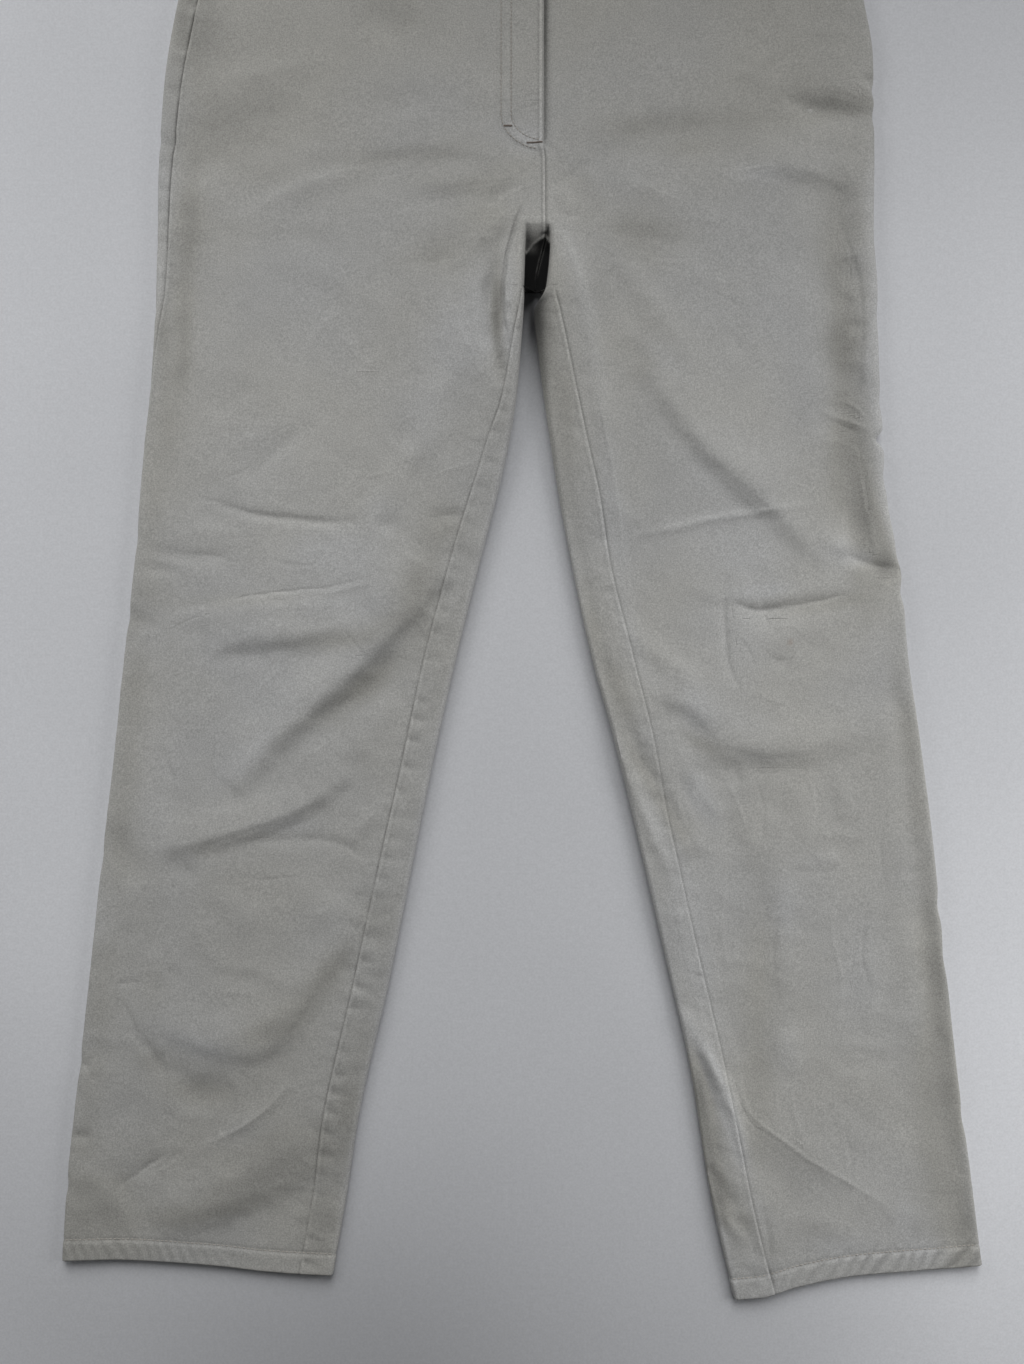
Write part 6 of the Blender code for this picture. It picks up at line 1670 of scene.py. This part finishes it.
def thread_shapes(runs, radius):
    """Short lengths of thread, each from one hole to the next: fat in the
    middle, diving in at both ends."""
    verts, faces = [], []
    sides = 6
    ang = np.arange(sides) * 2 * math.pi / sides
    for a, b, n in runs:
        a, b, n = map(np.asarray, (a, b, n))
        t = b - a
        length = np.linalg.norm(t)
        if length < 1e-6:
            continue
        t = t / length
        side = np.cross(n, t)
        side /= max(np.linalg.norm(side), 1e-9)
        n = np.cross(t, side)
        base = len(verts)
        for along, fat, sink in ((0.0, 0.35, -0.55), (0.2, 0.95, 0.25), (0.8, 0.95, 0.25), (1.0, 0.35, -0.55)):
            c = a + t * length * along + n * radius * sink
            for w in ang:
                verts.append(c + radius * fat * (math.cos(w) * side + 0.8 * math.sin(w) * n))
        for k in range(3):
            for j in range(sides):
                m = (j + 1) % sides
                faces.append((base + k * sides + j, base + k * sides + m,
                              base + (k + 1) * sides + m, base + (k + 1) * sides + j))
        faces.append(tuple(base + j for j in range(sides))[::-1])
        faces.append(tuple(base + 3 * sides + j for j in range(sides)))
    return verts, faces


def sew(line, pitch, gap, tree, up=False, jitter=0.0, seed=1):
    """Stitches along a line of plan points, laid on the cloth."""
    rng = np.random.RandomState(seed)
    line = np.asarray(line, float)
    cum = np.concatenate([[0], np.cumsum(np.hypot(*np.diff(line, axis=0).T))])
    runs = []
    s = 0.3
    while s + pitch < cum[-1]:
        e = s + pitch - gap
        p = [np.array([np.interp(q, cum, line[:, 0]), np.interp(q, cum, line[:, 1])]) for q in (s, e)]
        j = rng.uniform(-jitter, jitter, 2)
        ha, na = drop(tree, p[0][0], p[0][1] + j[0], up)
        hb, nb = drop(tree, p[1][0], p[1][1] + j[1], up)
        if ha is not None and hb is not None and abs(ha[2] - hb[2]) < 0.0015:
            n = na + nb
            runs.append((ha, hb, n / np.linalg.norm(n)))
        s += pitch
    return runs


def fly_line(off, top):
    w = FLY_WIDTH - off
    knee, foot = FLY_END + 25.0, FLY_END + off * 0.9
    a = np.linspace(0, math.pi / 2, 30)[1:]
    straight = [(-w, y) for y in np.linspace(top, knee, 40)]
    return straight + [(-w * math.cos(q), knee - (knee - foot) * math.sin(q)) for q in a[:-2]]


all_cloth = tree_of(*panels.values(), *bands.values())
runs = []
for off in (0.5, 0.5 + FLY_ROWS):
    runs += sew(fly_line(off, WAIST_SEAM - 1.5), 2.7, 0.55, all_cloth, False, 0.08, 5)
runs_fly = runs
runs = []
for leg in ("right", "left"):
    t = TABLES[leg]
    y0 = LEVEL[leg] + HEM_STITCH
    edge = sorted((float(curve(t[:, 0], t[:, 1], y0)), float(curve(t[:, 0], t[:, 2], y0))))
    xs = np.linspace(edge[0] + 1.6, edge[1] - 1.6, 260)
    line = np.stack([xs, place_y(leg, y0, xs, False)], 1)
    runs += sew(line, 3.0, 0.7, all_cloth, False, 0.12, 9)
    runs += sew(line, 3.0, 0.7, all_cloth, True, 0.12, 10)
runs_hem = runs
runs = []
for y, dy in ((WAIST_SEAM + 0.35 + 2.2, 1), (WAIST_SEAM + BAND_HEIGHT - 2.2, 2)):
    t = TABLES["right"]
    xs = np.linspace(float(curve(t[:, 0], t[:, 1], y)) + 4.0, -2.2, 240)
    runs += sew(np.stack([xs, np.full_like(xs, y)], 1), 2.9, 0.65, all_cloth, False, 0.05, 20 + dy)
    t = TABLES["left"]
    xs = np.linspace(2.6, float(curve(t[:, 0], t[:, 1], y)) - 4.0, 240)
    runs += sew(np.stack([xs, np.full_like(xs, y)], 1), 2.9, 0.65, all_cloth, False, 0.05, 30 + dy)
    xa, xb = float(curve(RIGHT_LEG[:, 0], RIGHT_LEG[:, 1], y)) + 4.0, float(curve(LEFT_LEG[:, 0], LEFT_LEG[:, 1], y)) - 4.0
    xs = np.linspace(xa, xb, 480)
    rise = BACK_RISE * np.cos(np.minimum(np.abs(xs + 15.0) / 215.0, 1.0) * math.pi / 2) ** 2
    runs += sew(np.stack([xs, y + rise], 1), 2.9, 0.65, all_cloth, True, 0.05, 40 + dy)
runs += sew([(-2.4, WAIST_SEAM + 3.0), (-2.4, WAIST_SEAM + BAND_HEIGHT - 3.0)], 2.9, 0.65, all_cloth, False, 0.0, 51)
runs_band = runs
joined("stitches_fly", *thread_shapes(runs_fly, 0.34 * MM), MAT_THREAD, "trouser_cloth")
joined("stitches_hem", *thread_shapes(runs_hem, 0.34 * MM), MAT_THREAD, "trouser_cloth")
joined("stitches_waistband", *thread_shapes(runs_band, 0.34 * MM), MAT_THREAD, "trouser_cloth")


def tack(x0, x1, y, high=1.3):
    """A bartack: close stitches across a short bar."""
    out = []
    for x in np.arange(x0, x1, 0.42):
        ha, na = drop(all_cloth, x, y - high / 2)
        hb, nb = drop(all_cloth, x + 0.15, y + high / 2)
        if ha is not None and hb is not None:
            out.append((ha + na * 0.15 * MM, hb + nb * 0.15 * MM, (na + nb) / np.linalg.norm(na + nb)))
    return out


tacks = tack(-28.6, -22.8, 71.7) + tack(-12.6, -1.8, 59.9)
joined("bartacks_fly", *thread_shapes(tacks, 0.27 * MM), MAT_TACK, "trouser_cloth")

# buttonhole: close stitches round the slit, then the button's threads
hole_y = WAIST_SEAM + BAND_HEIGHT / 2
runs = []
for k in np.arange(-30.0, -12.0, 0.5):
    for sgn in (-1, 1):
        ha, na = drop(all_cloth, k, hole_y + sgn * 0.5)
        hb, nb = drop(all_cloth, k, hole_y + sgn * 2.0)
        runs.append((ha + na * 0.1 * MM, hb + nb * 0.1 * MM, nb))
for q in np.arange(-80, 81, 16):
    for cx, turn in ((-30.0, math.pi), (-12.0, 0.0)):
        w = math.radians(q) + turn
        ha, na = drop(all_cloth, cx + 0.5 * math.cos(w), hole_y + 0.5 * math.sin(w))
        hb, nb = drop(all_cloth, cx + 2.0 * math.cos(w), hole_y + 2.0 * math.sin(w))
        runs.append((ha + na * 0.1 * MM, hb + nb * 0.1 * MM, nb))
joined("buttonhole_stitches", *thread_shapes(runs, 0.28 * MM), MAT_THREAD, "trouser_cloth")
b_lo, b_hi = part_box("waist_button")
bx, by, top = (b_lo.x + b_hi.x) / 2, (b_lo.y + b_hi.y) / 2, b_lo.z + 1.55 * MM
runs = []
for k in range(5):
    o = (k - 2) * 0.16 * MM
    for s1, s2 in ((1, 1), (1, -1)):
        a = np.array([bx - s1 * 1.35 * MM + o, by - s2 * 1.35 * MM - o * s2, top + 0.25 * MM])
        b = np.array([bx + s1 * 1.35 * MM + o, by + s2 * 1.35 * MM - o * s2, top + 0.25 * MM])
        runs.append((a, b, np.array([0, 0, 1.0])))
joined("button_threads", *thread_shapes(runs, 0.2 * MM), MAT_THREAD, "trouser_cloth")

# zip teeth: small blocks along both tapes' inner edges
verts, faces = [], []
for side in (-1, 1):
    for k, y in enumerate(np.arange(68.0, 221.0, 1.5)):
        yy = y + (0.75 if side > 0 else 0.0)
        z = float(np.interp(yy, tape_rows[::-1], [tape_z[float(v)] for v in tape_rows[::-1]]))
        x = -12.0 + side * 0.75
        base = len(verts)
        for zz in (z - 1.0, z + 0.45):
            for xx, y2 in ((x - 1.0, yy - 0.42), (x + 1.0, yy - 0.42), (x + 1.0, yy + 0.42), (x - 1.0, yy + 0.42)):
                verts.append(((xx + SX) * MM, (y2 + SY) * MM, zz * MM))
        for f in ((0, 3, 2, 1), (4, 5, 6, 7), (0, 1, 5, 4), (1, 2, 6, 5), (2, 3, 7, 6), (3, 0, 4, 7)):
            faces.append([base + i for i in f])
teeth = joined("zip_teeth", verts, faces, MAT_METAL, "zip_metal", False)

for key, mat in (("zip_slider", MAT_METAL), ("waist_button", MAT_BUTTON)):
    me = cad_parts[key].data
    me.materials.clear()
    me.materials.append(mat)


# -------------------------------------------------------- floor and light
bpy.ops.mesh.primitive_plane_add(size=6.0, location=(0.0, 0.0, -0.0001))
floor = bpy.context.active_object
floor.name = "floor_sheet"
floor.data.materials.append(MAT_FLOOR)

scene = bpy.context.scene
scene.view_settings.view_transform = "Standard"
scene.view_settings.look = "None"
world = bpy.data.worlds.new("soft_room")
scene.world = world
world.use_nodes = True
back = world.node_tree.nodes["Background"]
back.inputs["Color"].default_value = (0.98, 0.99, 1.0, 1.0)
back.inputs["Strength"].default_value = 0.05


def soft_light(name, place, aim, size, power, colour=(1.0, 1.0, 1.0)):
    data = bpy.data.lights.new(name, "AREA")
    data.shape = "DISK"
    data.size = size
    data.energy = power
    data.color = colour
    ob = bpy.data.objects.new(name, data)
    bpy.context.scene.collection.objects.link(ob)
    ob.location = place
    ob.rotation_euler = (Vector(aim) - Vector(place)).to_track_quat("-Z", "Y").to_euler()
    ob.visible_camera = False
    return ob


soft_light("window_right", (0.8, -0.15, 0.45), (0.0, -0.05, 0.0), 0.5, 2.5)
soft_light("window_left", (-0.8, 0.05, 0.5), (0.0, -0.05, 0.0), 0.5, 1.05)
soft_light("window_top_left", (-0.6, 0.6, 0.5), (0.0, -0.05, 0.0), 0.5, 1.38)
sky = bpy.data.lights.new("sky", "SUN")
sky.energy, sky.angle = 1.68, math.radians(35.0)
sky_ob = bpy.data.objects.new("sky", sky)
scene.collection.objects.link(sky_ob)
turn, rise = math.radians(86.0), math.radians(31.0)
sky_ob.rotation_euler = Vector((math.cos(turn) * math.cos(rise), math.sin(turn) * math.cos(rise),
                                math.sin(rise))).to_track_quat("Z", "Y").to_euler()

cam = bpy.data.cameras.new("camera")
cam.lens, cam.sensor_width, cam.clip_start = 27.0, 36.0, 0.01
cam_ob = bpy.data.objects.new("camera", cam)
scene.collection.objects.link(cam_ob)
cam_ob.location = (-0.0068, -0.0826, 0.716)
cam_ob.rotation_euler = (0.0, 0.0, 0.0)
scene.camera = cam_ob
